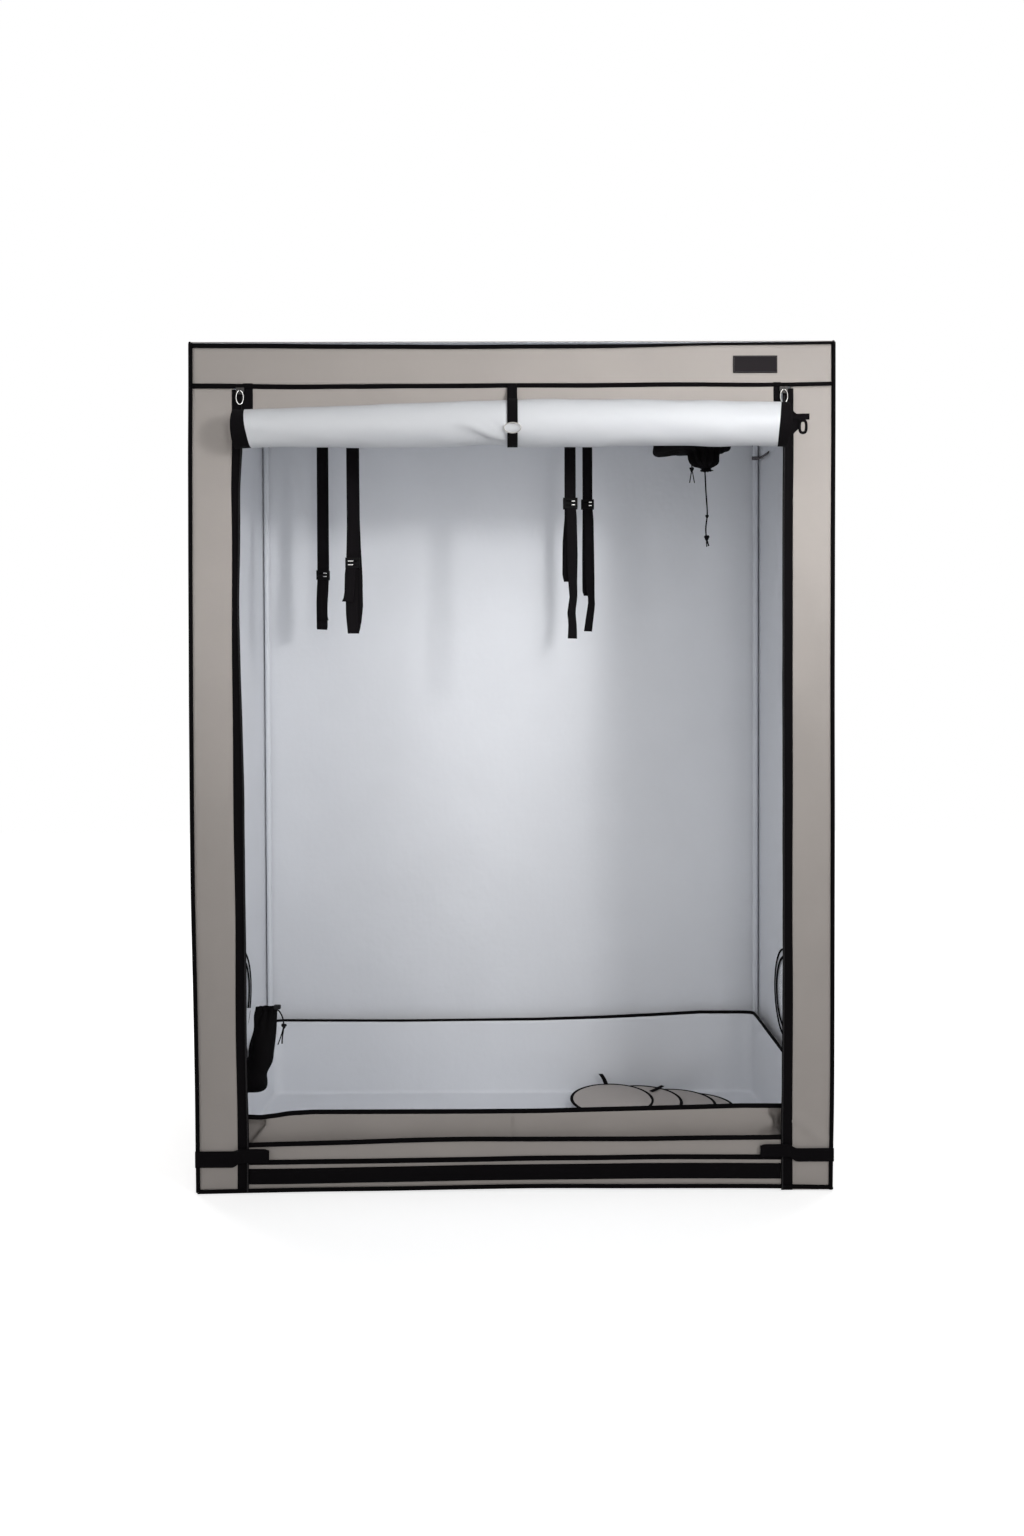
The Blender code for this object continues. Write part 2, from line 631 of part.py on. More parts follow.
def strap_mesh(name, buckle, loop_end, tail_end):
    # Webbing from its stitched end up over the bar, down to the loop's end and back through the buckle.
    radius = TUBE_RADIUS + GAP + WEBBING / 2
    front, back = -LAYER_HALF, LAYER_HALF
    tail = front - TAIL_SPACE
    turn = TAIL_SPACE / 2
    path = [(front, STITCH_RISE - buckle), (front, -CONVERGE)]
    path += arc((0, 0), radius, 180, 0, 9)
    path += [(back, -CONVERGE)]
    path += arc((0, LAYER_HALF - loop_end), LAYER_HALF, 0, -180, 7)
    path += [(front, -buckle - FOLD_DROP)]
    path += arc((front - turn, -buckle), turn, 0, 180, 5)
    path += [(tail, -tail_end)]
    return smooth(outline_mesh(name, ribbon_outline(path, WEBBING), WEBBING_WIDE / 2, SIDE_PLANE), 35)


def buckle_mesh():
    # A ladder buckle: a flat sleeve round the webbing with two slots in its face.
    half = WEBBING_WIDE / 2 + BUCKLE_ROOM
    room = WEBBING / 2 + BUCKLE_ROOM
    near, far = -LAYER_HALF - TAIL_SPACE - room, LAYER_HALF + room
    tall = BUCKLE_TALL / 2
    wall = BUCKLE_WALL
    body = box_mesh("buckle", (-half - wall, near - wall, -tall), (half + wall, far + wall, tall))
    cut = tall + OVERRUN
    steps = [("DIFFERENCE", box_mesh("way", (-half, near, -cut), (half, far, cut)))]
    for level in (-SLOT_PITCH / 2, SLOT_PITCH / 2):
        low = (-SLOT_WIDE / 2, near - wall - OVERRUN, level - SLOT_TALL / 2)
        high = (SLOT_WIDE / 2, near + room, level + SLOT_TALL / 2)
        steps.append(("DIFFERENCE", box_mesh("slot", low, high)))
    return combine("buckle", body, steps)


def add_hangers():
    bar = crossbar_mesh()
    add_part("crossbar_front", bar, TUBE, Matrix.Translation((0, -BAR_DEPTH, CORNER_HIGH)))
    add_part("crossbar_rear", bar, TUBE, Matrix.Translation((0, BAR_DEPTH, CORNER_HIGH)))
    buckle_data = buckle_mesh()
    for name, row, across, *drops in STRAP_SHARES:
        buckle, loop_end, tail_end = [HEIGHT * share for share in drops]
        spot = Vector((WIDTH * across, row * BAR_DEPTH, CORNER_HIGH))
        strap = strap_mesh(f"strap_{name}", buckle, loop_end, tail_end)
        hung = add_part(f"strap_{name}", strap, BLACK, Matrix.Translation(spot))
        keeper = add_part(f"buckle_{name}", buckle_data, PLASTIC)
        keeper.parent = hung
        keeper.location = (0, 0, -buckle)


def tray_ring(level):
    # Points round the tray at a share of its wall's height, from the front left corner.
    points = []
    straight = 9
    wide, deep, corner = TRAY_HALF_WIDE, TRAY_HALF_DEEP, TRAY_CORNER
    spots = ((-1, -1, 180), (1, -1, 270), (1, 1, 0), (-1, 1, 90))
    for index, (side, back, start) in enumerate(spots):
        centre = (side * (wide - corner), back * (deep - corner))
        points += arc(centre, corner, start, start + 90, 4)
        following = spots[(index + 1) % 4]
        goal = (following[0] * (wide - corner), following[1] * (deep - corner))
        out = Vector(points[-1]) - Vector(centre)
        for i in range(1, straight):
            points.append(tuple(Vector(centre).lerp(Vector(goal), i / straight) + out))
    ring = []
    for x, y in points:
        across = (x + wide) / (2 * wide)
        back = min(1.0, max(0.0, (y + deep) / (2 * deep)))
        front_rim = TRAY_FRONT_LEFT + (TRAY_FRONT_RIGHT - TRAY_FRONT_LEFT) * across
        rim = front_rim + (TRAY_BACK - front_rim) * back**RIM_CURVE
        slack = TRAY_SAG * math.sin(math.pi * level) * math.sin(TRAY_WAVES * math.pi * across) * (back < 1)
        inward = 1 - slack / deep if abs(y) > deep - corner else 1
        ring.append((x, y * inward if slack > 0 else y, TRAY_FLOOR + (rim - TRAY_FLOOR) * level))
    return ring


def add_tray():
    # The walls rise from the floor sheet, low in front, and the shell is one cloth thick.
    bm = bmesh.new()
    rings = [[bm.verts.new(p) for p in tray_ring(level)] for level in (0.0, 0.5, 1.0)]
    bm.faces.new(rings[0][::-1])
    for low, high in zip(rings, rings[1:]):
        for i in range(len(low)):
            j = (i + 1) % len(low)
            bm.faces.new((low[i], low[j], high[j], high[i]))
    data = bpy.data.meshes.new("tray")
    bm.to_mesh(data)
    bm.free()
    tray = add_part("tray", data, WHITE)
    wall = tray.modifiers.new("Cloth", "SOLIDIFY")
    wall.thickness = CLOTH
    wall.offset = 1
    wall.use_even_offset = True


def dome_height(radius):
    return COVER_DOME * (1 - (radius / COVER_JOIN) ** 2)


def cover_mesh():
    # A domed cloth disc with a round piped edge, turned from one profile.
    half = COVER_CLOTH / 2
    inner = [COVER_JOIN * share for share in COVER_RING_SHARES]
    upper = [(r, dome_height(r) + half) for r in inner]
    edge = arc((COVER_RING, 0), COVER_PIPING, 180 - COVER_NECK, COVER_NECK - 180, 7)
    lower = [(r, dome_height(r) - half) for r in inner[::-1]]
    bm = bmesh.new()
    verts = [bm.verts.new((r, 0, z)) for r, z in upper + edge + lower]
    for a, b in zip(verts, verts[1:]):
        bm.edges.new((a, b))
    data = bpy.data.meshes.new("port_cover")
    bm.to_mesh(data)
    bm.free()
    return data


def cover_levels():
    # Each cover's rim rests on the dome of the next one down, so the levels build up from the last.
    levels = [TRAY_FLOOR + GAP + COVER_PIPING]
    for near, far in zip(COVER_FAN[-2::-1], COVER_FAN[:0:-1]):
        crossing = abs(COVER_RING - (far - near))
        over_dome = dome_height(crossing) + COVER_CLOTH / 2 + COVER_PIPING
        levels.append(levels[-1] + max(over_dome, 2 * COVER_PIPING) + GAP)
    return levels[::-1]


def add_covers():
    data = cover_mesh()
    for index, (along, level) in enumerate(zip(COVER_FAN, cover_levels())):
        spot = Matrix.Translation((COVER_FIRST + along, COVER_DEEP, level))
        cover = add_part(f"port_cover_{index + 1}", data, BEIGE, spot)
        screw = cover.modifiers.new("Turn", "SCREW")
        screw.steps = COVER_STEPS
        screw.render_steps = COVER_STEPS
        screw.use_merge_vertices = True
        screw.merge_threshold = WELD
        screw.use_smooth_shade = True


def lofted(name, rings):
    # Skins a stack of closed rings, each end closed on its middle.
    bm = bmesh.new()
    loops = [[bm.verts.new(p) for p in ring] for ring in rings]
    for low, high in zip(loops, loops[1:]):
        for i in range(len(low)):
            j = (i + 1) % len(low)
            bm.faces.new((low[i], low[j], high[j], high[i]))
    for loop in (loops[0], loops[-1]):
        middle = sum((v.co for v in loop), Vector()) / len(loop)
        pole = bm.verts.new(middle)
        for i in range(len(loop)):
            bm.faces.new((loop[i], loop[(i + 1) % len(loop)], pole))
    return smooth(to_mesh(bm, name), 60)


def add_roof_sleeve():
    # A cloth tube under the roof port, drawn shut near its end so that it pleats into a bunch.
    count = 4 * SLEEVE_FOLDS

    def ring(radius, drop, fold, shift):
        points = []
        for i in range(count):
            angle = 2 * math.pi * i / count
            reach = radius + SLEEVE_FOLD * fold * math.cos(SLEEVE_FOLDS * angle)
            x = PORT_ACROSS + BUNCH_SHIFT * shift + reach * math.cos(angle)
            points.append((x, PORT_DEPTH + reach * math.sin(angle), SLEEVE_TOP - drop))
        return points

    inside = SLEEVE_DROP - 2 * CLOTH
    rings = []
    for r, d, f, s in BUNCH_RING_SHARES[::-1]:
        rings.append(ring(BUNCH_RADIUS * r, SLEEVE_DROP + BUNCH_DROP * d, f, s))
    rings += [ring(SLEEVE_RADIUS * r, SLEEVE_DROP * d, f, s) for r, d, f, s in SLEEVE_RING_SHARES[::-1]]
    rings += [ring(SLEEVE_RADIUS * r - CLOTH, inside * d, f, s) for r, d, f, s in SLEEVE_RING_SHARES]
    add_part("roof_sleeve", lofted("roof_sleeve", rings), BLACK)


def add_cable_sleeve():
    # A cloth tube that leaves the left wall, turns up and is drawn shut at its mouth.
    count = 20

    def ring(x, z, slant, across, deep):
        angle = math.radians(slant)
        points = []
        for i in range(count):
            turn = 2 * math.pi * i / count
            out = across * math.cos(turn)
            back = CABLE_DEPTH + deep * math.sin(turn)
            points.append((x - out * math.sin(angle), back, z + out * math.cos(angle)))
        return points

    bore_end = CABLE_START + CABLE_BORE
    bore = CABLE_RADIUS - CLOTH
    rings = [
        ring(bore_end, CABLE_HEIGHT, 0, bore - CLOTH, bore - CLOTH),
        ring(CABLE_START, CABLE_HEIGHT, 0, bore, bore),
        ring(CABLE_START, CABLE_HEIGHT, 0, CABLE_RADIUS, CABLE_RADIUS),
        ring(bore_end, CABLE_HEIGHT, 0, CABLE_RADIUS, CABLE_RADIUS),
    ]
    for reach, rise, slant, across, deep in CABLE_RING_SHARES:
        x, z = CABLE_START + CABLE_REACH * reach, CABLE_HEIGHT + CABLE_RISE * rise
        rings.append(ring(x, z, slant, CABLE_RADIUS * across, CABLE_RADIUS * deep))
    add_part("cable_sleeve", lofted("cable_sleeve", rings), BLACK)


def cord_points(exit_place, shares, fall):
    x, y, z = exit_place
    return [(x + fall * across, y + fall * back, z - fall * down) for across, back, down in shares]


def add_cords():
    # The long cord hangs from the bunch's end, the short one from its side, the last from the low sleeve.
    bunch = PORT_ACROSS + BUNCH_SHIFT
    low = SLEEVE_TOP - SLEEVE_DROP - BUNCH_DROP
    reach, rise, slant, across, _ = CABLE_RING_SHARES[-1]
    lip = CABLE_START + CABLE_REACH * reach + CABLE_RADIUS * across
    mouth = CABLE_HEIGHT + CABLE_RISE * rise
    long_exit = (bunch, PORT_DEPTH, low - GAP)
    short_exit = (bunch - SHORT_CORD_SHIFT, PORT_DEPTH, low + SHORT_CORD_RISE)
    cable_exit = (lip + 3 * GAP, CABLE_DEPTH, mouth - 2 * THIN_CORD_RADIUS)
    cords = (
        ("roof_cord_long", cord_points(long_exit, ROOF_CORD_SHARES, ROOF_CORD_FALL), CORD_RADIUS),
        ("roof_cord_short", cord_points(short_exit, SHORT_CORD_SHARES, SHORT_CORD_FALL), THIN_CORD_RADIUS),
        ("cable_cord", cord_points(cable_exit, CABLE_CORD_SHARES, CABLE_CORD_FALL), THIN_CORD_RADIUS),
    )
    for name, places, radius in cords:
        points = smooth_route(places, 5 * radius)
        add_part(name, wire_mesh(name, points, radius, sides=1), BLACK)


add_frame()
add_cover()
add_zips()
add_door()
add_hangers()
add_tray()
add_covers()
add_roof_sleeve()
add_cable_sleeve()
add_cords()
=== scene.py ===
import json
import math

import bpy
import numpy as np
from mathutils import Matrix, Vector


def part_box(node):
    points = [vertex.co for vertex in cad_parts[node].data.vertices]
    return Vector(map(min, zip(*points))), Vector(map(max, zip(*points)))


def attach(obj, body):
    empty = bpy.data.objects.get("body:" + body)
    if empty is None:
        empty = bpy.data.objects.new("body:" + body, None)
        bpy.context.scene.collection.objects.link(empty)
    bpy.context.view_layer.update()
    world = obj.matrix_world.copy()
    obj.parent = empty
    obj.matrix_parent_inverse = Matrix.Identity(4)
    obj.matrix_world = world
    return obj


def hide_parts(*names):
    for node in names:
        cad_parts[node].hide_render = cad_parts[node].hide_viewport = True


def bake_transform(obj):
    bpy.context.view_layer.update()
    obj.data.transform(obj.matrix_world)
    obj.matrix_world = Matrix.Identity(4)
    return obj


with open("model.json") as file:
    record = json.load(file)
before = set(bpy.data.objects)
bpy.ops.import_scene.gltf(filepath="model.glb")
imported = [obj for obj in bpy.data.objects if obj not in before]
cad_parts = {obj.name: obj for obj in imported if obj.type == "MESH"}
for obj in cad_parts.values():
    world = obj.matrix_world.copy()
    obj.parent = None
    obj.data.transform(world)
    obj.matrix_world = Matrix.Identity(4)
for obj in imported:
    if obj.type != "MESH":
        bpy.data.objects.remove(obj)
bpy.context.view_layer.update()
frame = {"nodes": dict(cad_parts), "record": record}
scene = bpy.context.scene

# The camera's place in metres, its turns in radians, and its lens and sensor in millimetres
cameraSetup = {
    "place": (-0.0146, -3.1298, 1.0571), "lookDown": 0.0195, "lookRight": 0.0041, "roll": -0.0036, "lens": 27.22,
    "sensor": 36,
}


def addCamera(setup):
    # The view direction from the turns down and to the right, then a roll about that direction.
    down, right, roll = setup["lookDown"], setup["lookRight"], setup["roll"]
    forward = Vector((math.sin(right) * math.cos(down), math.cos(right) * math.cos(down), -math.sin(down)))
    level = Vector((math.cos(right), -math.sin(right), 0))
    upward = level.cross(forward)
    across = level * math.cos(roll) + upward * math.sin(roll)
    upright = upward * math.cos(roll) - level * math.sin(roll)
    data = bpy.data.cameras.new("frontCamera")
    data.lens = setup["lens"]
    data.sensor_width = setup["sensor"]
    camera = bpy.data.objects.new("frontCamera", data)
    axes = Matrix((across, upright, -forward)).transposed()
    camera.matrix_world = Matrix.Translation(setup["place"]) @ axes.to_4x4()
    scene.collection.objects.link(camera)
    scene.camera = camera


addCamera(cameraSetup)
print("camera placed")


def plug(tree, node, inputs):
    # Each input gets a plain value, or a link from another node's output.
    for socket, value in inputs.items():
        if isinstance(value, bpy.types.NodeSocket):
            tree.links.new(value, node.inputs[socket])
        else:
            node.inputs[socket].default_value = value


def addNode(tree, kind, inputs=None, **settings):
    # A new shader node with its settings and inputs.
    node = tree.nodes.new("ShaderNode" + kind)
    for name, value in settings.items():
        setattr(node, name, value)
    plug(tree, node, inputs or {})
    return node


def newFinish(name, colour, roughness, metallic=0.0, specular=0.5):
    # A plain surface: its colour, roughness, share of metal and strength of reflection.
    material = bpy.data.materials.new(name)
    material.use_nodes = True
    look = {"Base Color": (*colour, 1), "Roughness": roughness, "Metallic": metallic, "Specular IOR Level": specular}
    plug(material.node_tree, material.node_tree.nodes["Principled BSDF"], look)
    return material


# Scales are in turns per metre of cloth.
clothLook = {"mottleScale": 5, "mottleDetail": 4, "ribStrength": 0.6, "dimpleScale": 32, "dimpleDetail": 3}


def clothFinish(name, colour, roughness, pitch, mottle=0.05, dimple=0.0, specular=0.35, rib=0.00015):
    # Woven cloth: two crossed waves of the thread pitch in the piece's own UV, which is in metres,
    # with slow noise that varies the colour and a finer noise that dimples the surface.
    material = newFinish(name, colour, roughness, specular=specular)
    tree = material.node_tree
    place = addNode(tree, "UVMap", uv_map="clothUv").outputs["UV"]
    slow = {"Scale": clothLook["mottleScale"], "Detail": clothLook["mottleDetail"], "Vector": place}
    noise = addNode(tree, "TexNoise", slow).outputs["Fac"]
    spread = {"From Min": 0.3, "From Max": 0.7, "To Min": 1 - mottle, "To Max": 1 + mottle, "Value": noise}
    shade = addNode(tree, "MapRange", spread).outputs["Result"]
    tint = addNode(tree, "VectorMath", {0: colour, "Scale": shade}, operation="SCALE").outputs["Vector"]
    threads = [
        addNode(tree, "TexWave", {"Scale": math.pi / 10 / pitch, "Vector": place}, bands_direction=way).outputs["Fac"]
        for way in ("X", "Y")
    ]
    weave = addNode(tree, "Math", {0: threads[0], 1: threads[1]}, operation="ADD").outputs["Value"]
    ribs = {"Strength": clothLook["ribStrength"], "Distance": rib, "Height": weave}
    normal = addNode(tree, "Bump", ribs).outputs["Normal"]
    if dimple:
        fine = {"Scale": clothLook["dimpleScale"], "Detail": clothLook["dimpleDetail"], "Vector": place}
        dents = addNode(tree, "TexNoise", fine).outputs["Fac"]
        dented = {"Strength": 1.0, "Distance": dimple, "Height": dents, "Normal": normal}
        normal = addNode(tree, "Bump", dented).outputs["Normal"]
    plug(tree, tree.nodes["Principled BSDF"], {"Base Color": tint, "Normal": normal})
    return material


beigeCloth = clothFinish("beigeCloth", (0.463, 0.424, 0.397), 0.6, 0.0011, mottle=0.03, dimple=0.0006)
whiteCloth = clothFinish("whiteCloth", (0.79, 0.805, 0.84), 0.42, 0.0014, mottle=0.015, dimple=0.0008, specular=0.5)
rollCloth = clothFinish("rollCloth", (0.725, 0.739, 0.767), 0.45, 0.0014, mottle=0.01, dimple=0.0005, specular=0.5)
webbingCloth = clothFinish("webbingCloth", (0.006, 0.0052, 0.006), 0.85, 0.0022, 0.08, specular=0.04, rib=0.0003)
# Grey webbing for the pole tie, lighter than black to match a faint shade; on the tie's loose end it is painted shadow.
greyTieAndShadowWebbing = clothFinish("greyTieAndShadowWebbing", (0.16, 0.15, 0.155), 0.85, 0.0022, 0.08, specular=0.04)
bindingCloth = newFinish("bindingCloth", (0.0042, 0.0037, 0.0042), 0.85, specular=0.04)
sleeveCloth = clothFinish("sleeveCloth", (0.0055, 0.005, 0.0055), 0.9, 0.0012, 0.1, dimple=0.0008, specular=0.04)
labelCloth = newFinish("labelCloth", (0.022, 0.019, 0.021), 0.8, specular=0.08)
darkThread = newFinish("darkThread", (0.06, 0.055, 0.056), 0.6)
netThread = newFinish("netThread", (0.62, 0.64, 0.68), 0.7, specular=0.2)
cordBraid = newFinish("cordBraid", (0.009, 0.008, 0.009), 0.85, specular=0.05)
tubePaint = newFinish("tubePaint", (0.76, 0.78, 0.82), 0.45, specular=0.35)
jointPlastic = newFinish("jointPlastic", (0.01, 0.01, 0.011), 0.5, specular=0.12)
bucklePlastic = newFinish("bucklePlastic", (0.005, 0.0048, 0.005), 0.55, specular=0.05)
sliderMetal = newFinish("sliderMetal", (0.05, 0.048, 0.047), 0.35, metallic=1.0)
zipMetal = newFinish("zipMetal", (0.78, 0.77, 0.75), 0.24, metallic=1.0)
ringMetal = newFinish("ringMetal", (0.46, 0.44, 0.42), 0.3, metallic=1.0)
zipCoil = newFinish("zipCoil", (0.011, 0.01, 0.011), 0.5, specular=0.15)
print("finishes made")


def gridFaces(rows, columns, wrapRows=False, wrapColumns=False):
    # Quads between neighbours of a grid of points; they face along the row step crossed with the column step.
    i, j = np.meshgrid(
        np.arange(rows if wrapRows else rows - 1),
        np.arange(columns if wrapColumns else columns - 1),
        indexing="ij",
    )
    nextRow, nextColumn = (i + 1) % rows, (j + 1) % columns
    corners = (i * columns + j, nextRow * columns + j, nextRow * columns + nextColumn, i * columns + nextColumn)
    return np.stack(corners, -1).reshape(-1, 4)


def newPiece(
    name, points, faces, finishes, uv=None, body="tent", slot=None, finishIndex=None, flat=False, thickness=0, node=None
):
    # faces is a list of whole-number arrays, each with one row for each face. A piece with a thickness and more
    # than one finish has the next finish inside. The node is the solid whose place the piece takes.
    points = np.asarray(points, float).reshape(-1, 3)
    corners = np.concatenate([np.asarray(f).ravel() for f in faces]).astype(np.int32)
    counts = np.concatenate([np.full(len(f), np.asarray(f).shape[1]) for f in faces])
    used, corners = np.unique(corners, return_inverse=True)
    mesh = bpy.data.meshes.new(name)
    mesh.vertices.add(len(used))
    mesh.vertices.foreach_set("co", points[used].astype(np.float32).ravel())
    mesh.loops.add(len(corners))
    mesh.loops.foreach_set("vertex_index", corners.astype(np.int32))
    mesh.polygons.add(len(counts))
    mesh.polygons.foreach_set("loop_start", np.concatenate([[0], np.cumsum(counts)[:-1]]).astype(np.int32))
    mesh.update(calc_edges=True)
    if uv is not None:
        layer = mesh.uv_layers.new(name="clothUv")
        layer.data.foreach_set("uv", np.asarray(uv).reshape(-1, 2)[used][corners].astype(np.float32).ravel())
    for finish in finishes if isinstance(finishes, list) else [finishes]:
        mesh.materials.append(finish)
    if finishIndex is not None:
        mesh.polygons.foreach_set("material_index", np.asarray(finishIndex, np.int32))
    mesh.polygons.foreach_set("use_smooth", np.full(len(counts), not flat))
    mesh.validate()
    piece = bpy.data.objects.new(name, mesh)
    scene.collection.objects.link(piece)
    if body:
        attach(piece, body)
    if thickness:
        wall = piece.modifiers.new("clothThickness", "SOLIDIFY")
        wall.thickness = thickness
        wall.offset = 0
        wall.material_offset = int(len(mesh.materials) > 1)
    if node:
        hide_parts(node)
    return piece


def smoothStep(value, low, high):
    # 0 up to the low value and 1 from the high one; between them three squares less two cubes of the share.
    t = np.clip((value - low) / (high - low), 0, 1)
    return t * t * (3 - 2 * t)


def softWaves(u, v, seed, longest, shortest, count=12):
    # Sum of sine waves in seeded directions, about -1 to 1.
    dice = np.random.default_rng(seed)
    total = np.zeros_like(u)
    for angle, phase, length in zip(
        dice.uniform(0, 2 * np.pi, count), dice.uniform(0, 2 * np.pi, count), dice.uniform(shortest, longest, count)
    ):
        total += np.sin(2 * np.pi * (u * np.cos(angle) + v * np.sin(angle)) / length + phase)
    return total / (1.1 * math.sqrt(count))


def unit(vectors):
    # Each vector divided by its length.
    return vectors / np.maximum(np.linalg.norm(vectors, axis=-1, keepdims=True), 1e-12)


def fullTurn(count):
    # Angles evenly spread round a whole turn, without its end.
    return 2 * np.pi * np.arange(count) / count


def runLength(path):
    # Distance along the path at each of its points.
    return np.concatenate([[0], np.cumsum(np.linalg.norm(np.diff(path, axis=0), axis=1))])


def gather(*parts):
    # The parts, such as x, y and z, side by side in the last direction; a single number goes everywhere.
    return np.stack(np.broadcast_arrays(*parts), -1)


def nodeBox(node):
    # The low and high corners of a solid's box.
    return [np.array(corner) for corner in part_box(node)]


def smoothed(values, times):
    # Each inner value becomes the mean of itself and its two neighbours, so many times over.
    for _ in range(times):
        values[1:-1] = (values[:-2] + values[1:-1] + values[2:]) / 3
    return values


def besideLine(u, v, start, end):
    # Distance beside the line through two places, and the share of the way along it.
    runU, runV = end[0] - start[0], end[1] - start[1]
    run = math.hypot(runU, runV)
    beside = ((u - start[0]) * runV - (v - start[1]) * runU) / run
    return beside, ((u - start[0]) * runU + (v - start[1]) * runV) / run**2


def roundedTurn(turn, square=1.0):
    # Cosine and sine of the turn; a square share under 1 flattens the circle's four sides.
    return [np.sign(wave(turn)) * np.abs(wave(turn)) ** square for wave in (np.cos, np.sin)]


def tubePiece(name, path, wide, deep, finish, sides=10, closed=False, up=(0, 0, 1), square=1.0, **options):
    # A rounded section carried along a path: cosine of the turn times half the width sideways, plus
    # sine of it times half the depth upwards.
    path = np.asarray(path, float)
    step = np.roll(path, -1, 0) - np.roll(path, 1, 0) if closed else np.gradient(path, axis=0)
    along = unit(step)
    side = unit(np.cross(along, np.asarray(up, float)))
    lift = np.cross(side, along)
    turn = fullTurn(sides)
    reach, rise = roundedTurn(turn, square)
    wide, deep = (np.broadcast_to(np.asarray(x, float), len(path))[:, None, None] for x in (wide, deep))
    points = path[:, None] + side[:, None] * reach[:, None] * wide / 2 + lift[:, None] * rise[:, None] * deep / 2
    faces = [gridFaces(len(path), sides, closed, True)]
    if not closed:
        faces += [np.arange(sides)[None], (len(path) - 1) * sides + np.arange(sides)[::-1][None]]
    uv = gather(runLength(path)[:, None], turn * wide[0, 0] / 4)
    return newPiece(name, points, faces, finish, uv=uv, **options)


def boundEdge(name, path, wide, deep, up=(0, 0, 1), sides=10, closed=True, **options):
    # A flat, rounded edge of binding cloth along a path.
    return tubePiece(name, path, wide, deep, bindingCloth, sides, closed, up, 0.7, slot="webbing", **options)


def pathThrough(places, count):
    # A smooth path through the places, by a cubic spline on the distance between them.
    places = np.asarray(places, float)
    knots = runLength(places)
    n = len(places)
    gap = np.diff(knots)
    system, right = np.eye(n), np.zeros((n, places.shape[1]))
    for i in range(1, n - 1):
        system[i, i - 1 : i + 2] = gap[i - 1], 2 * (gap[i - 1] + gap[i]), gap[i]
        right[i] = 6 * ((places[i + 1] - places[i]) / gap[i] - (places[i] - places[i - 1]) / gap[i - 1])
    bend = np.linalg.solve(system, right)
    at = np.linspace(0, knots[-1], count)
    k = np.clip(np.searchsorted(knots, at, side="right") - 1, 0, n - 2)
    h, a, b = gap[k][:, None], (knots[k + 1] - at)[:, None], (at - knots[k])[:, None]
    curve = (bend[k] * a**3 + bend[k + 1] * b**3) / (6 * h)
    return curve + (places[k] / h - bend[k] * h / 6) * a + (places[k + 1] / h - bend[k + 1] * h / 6) * b


def ribbonPiece(name, path, width, widthAxis, finish, thickness, body="tent", columns=5, node=None):
    # A strip whose middle line is the path, spread both ways along the width axis.
    path = np.asarray(path, float)
    share = np.linspace(-0.5, 0.5, columns)
    width = np.broadcast_to(np.asarray(width, float), len(path))
    points = path[:, None] + np.asarray(widthAxis, float) * (share[None, :, None] * width[:, None, None])
    length = runLength(path)
    uv = gather(length[:, None], share * width[0])
    look = {"uv": uv, "slot": "webbing", "body": body, "thickness": thickness, "node": node}
    return newPiece(name, points, [gridFaces(len(path), columns)], finish, **look), float(length[-1])


def roundedBox(name, low, high, finish, bevel, **options):
    # A box with its edges bevelled.
    low, high = np.asarray(low, float), np.asarray(high, float)
    picks = np.array([[x, y, z] for z in (0, 1) for y in (0, 1) for x in (0, 1)])
    points = low + (high - low) * picks
    quads = np.array([[0, 2, 3, 1], [4, 5, 7, 6], [0, 1, 5, 4], [2, 6, 7, 3], [0, 4, 6, 2], [1, 3, 7, 5]])
    piece = newPiece(name, points, [quads], finish, uv=points[:, [0, 2]], flat=True, **options)
    edge = piece.modifiers.new("softEdge", "BEVEL")
    edge.width = bevel
    edge.segments = 2
    return piece


axisOf = dict(zip("xyz", np.eye(3)))
# snap is the part of a cell within which points move onto a hole's rim; the cloth comes out to its full swell
# over fallWidth, and the two shares are its even part and its waves.
coverCloth = {
    "thickness": 0.0014, "cell": 0.011, "snap": 0.6, "fallWidth": 0.16, "evenShare": 0.55, "waveShare": 0.45,
}

# Each panel: its solid, the axes of its two grid directions, whose cross product faces outwards, how far it
# stands proud in metres, its longest and shortest waves, and its round holes (two places and a radius)
panels = {
    "backWall": ("back_panel", "zx", 0.0035, 0.6, 0.22, ()),
    "leftWall": ("left_panel", "zy", 0.004, 0.5, 0.16, ((0.373, 0.045, 0.105), (0.248, -0.29, 0.0314))),
    "rightWall": ("right_panel", "yz", 0.004, 0.5, 0.16, ((0.045, 0.373, 0.105),)),
    "roofCloth": ("roof_panel", "xy", 0.005, 0.6, 0.2, ((0.484, 0.0, 0.0968),)),
    "headerCloth": ("header_panel", "xz", 0.0022, 0.55, 0.12, ()),
    "leftJamb": ("jamb_left", "xz", 0.0024, 0.4, 0.1, ()),
    "rightJamb": ("jamb_right", "xz", 0.0024, 0.4, 0.1, ()),
    "sillCloth": ("sill_panel", "xz", 0.0008, 0.5, 0.15, ()),
    "groundCloth": ("floor_panel", "yx", 0.0, 0.6, 0.2, ()),
}
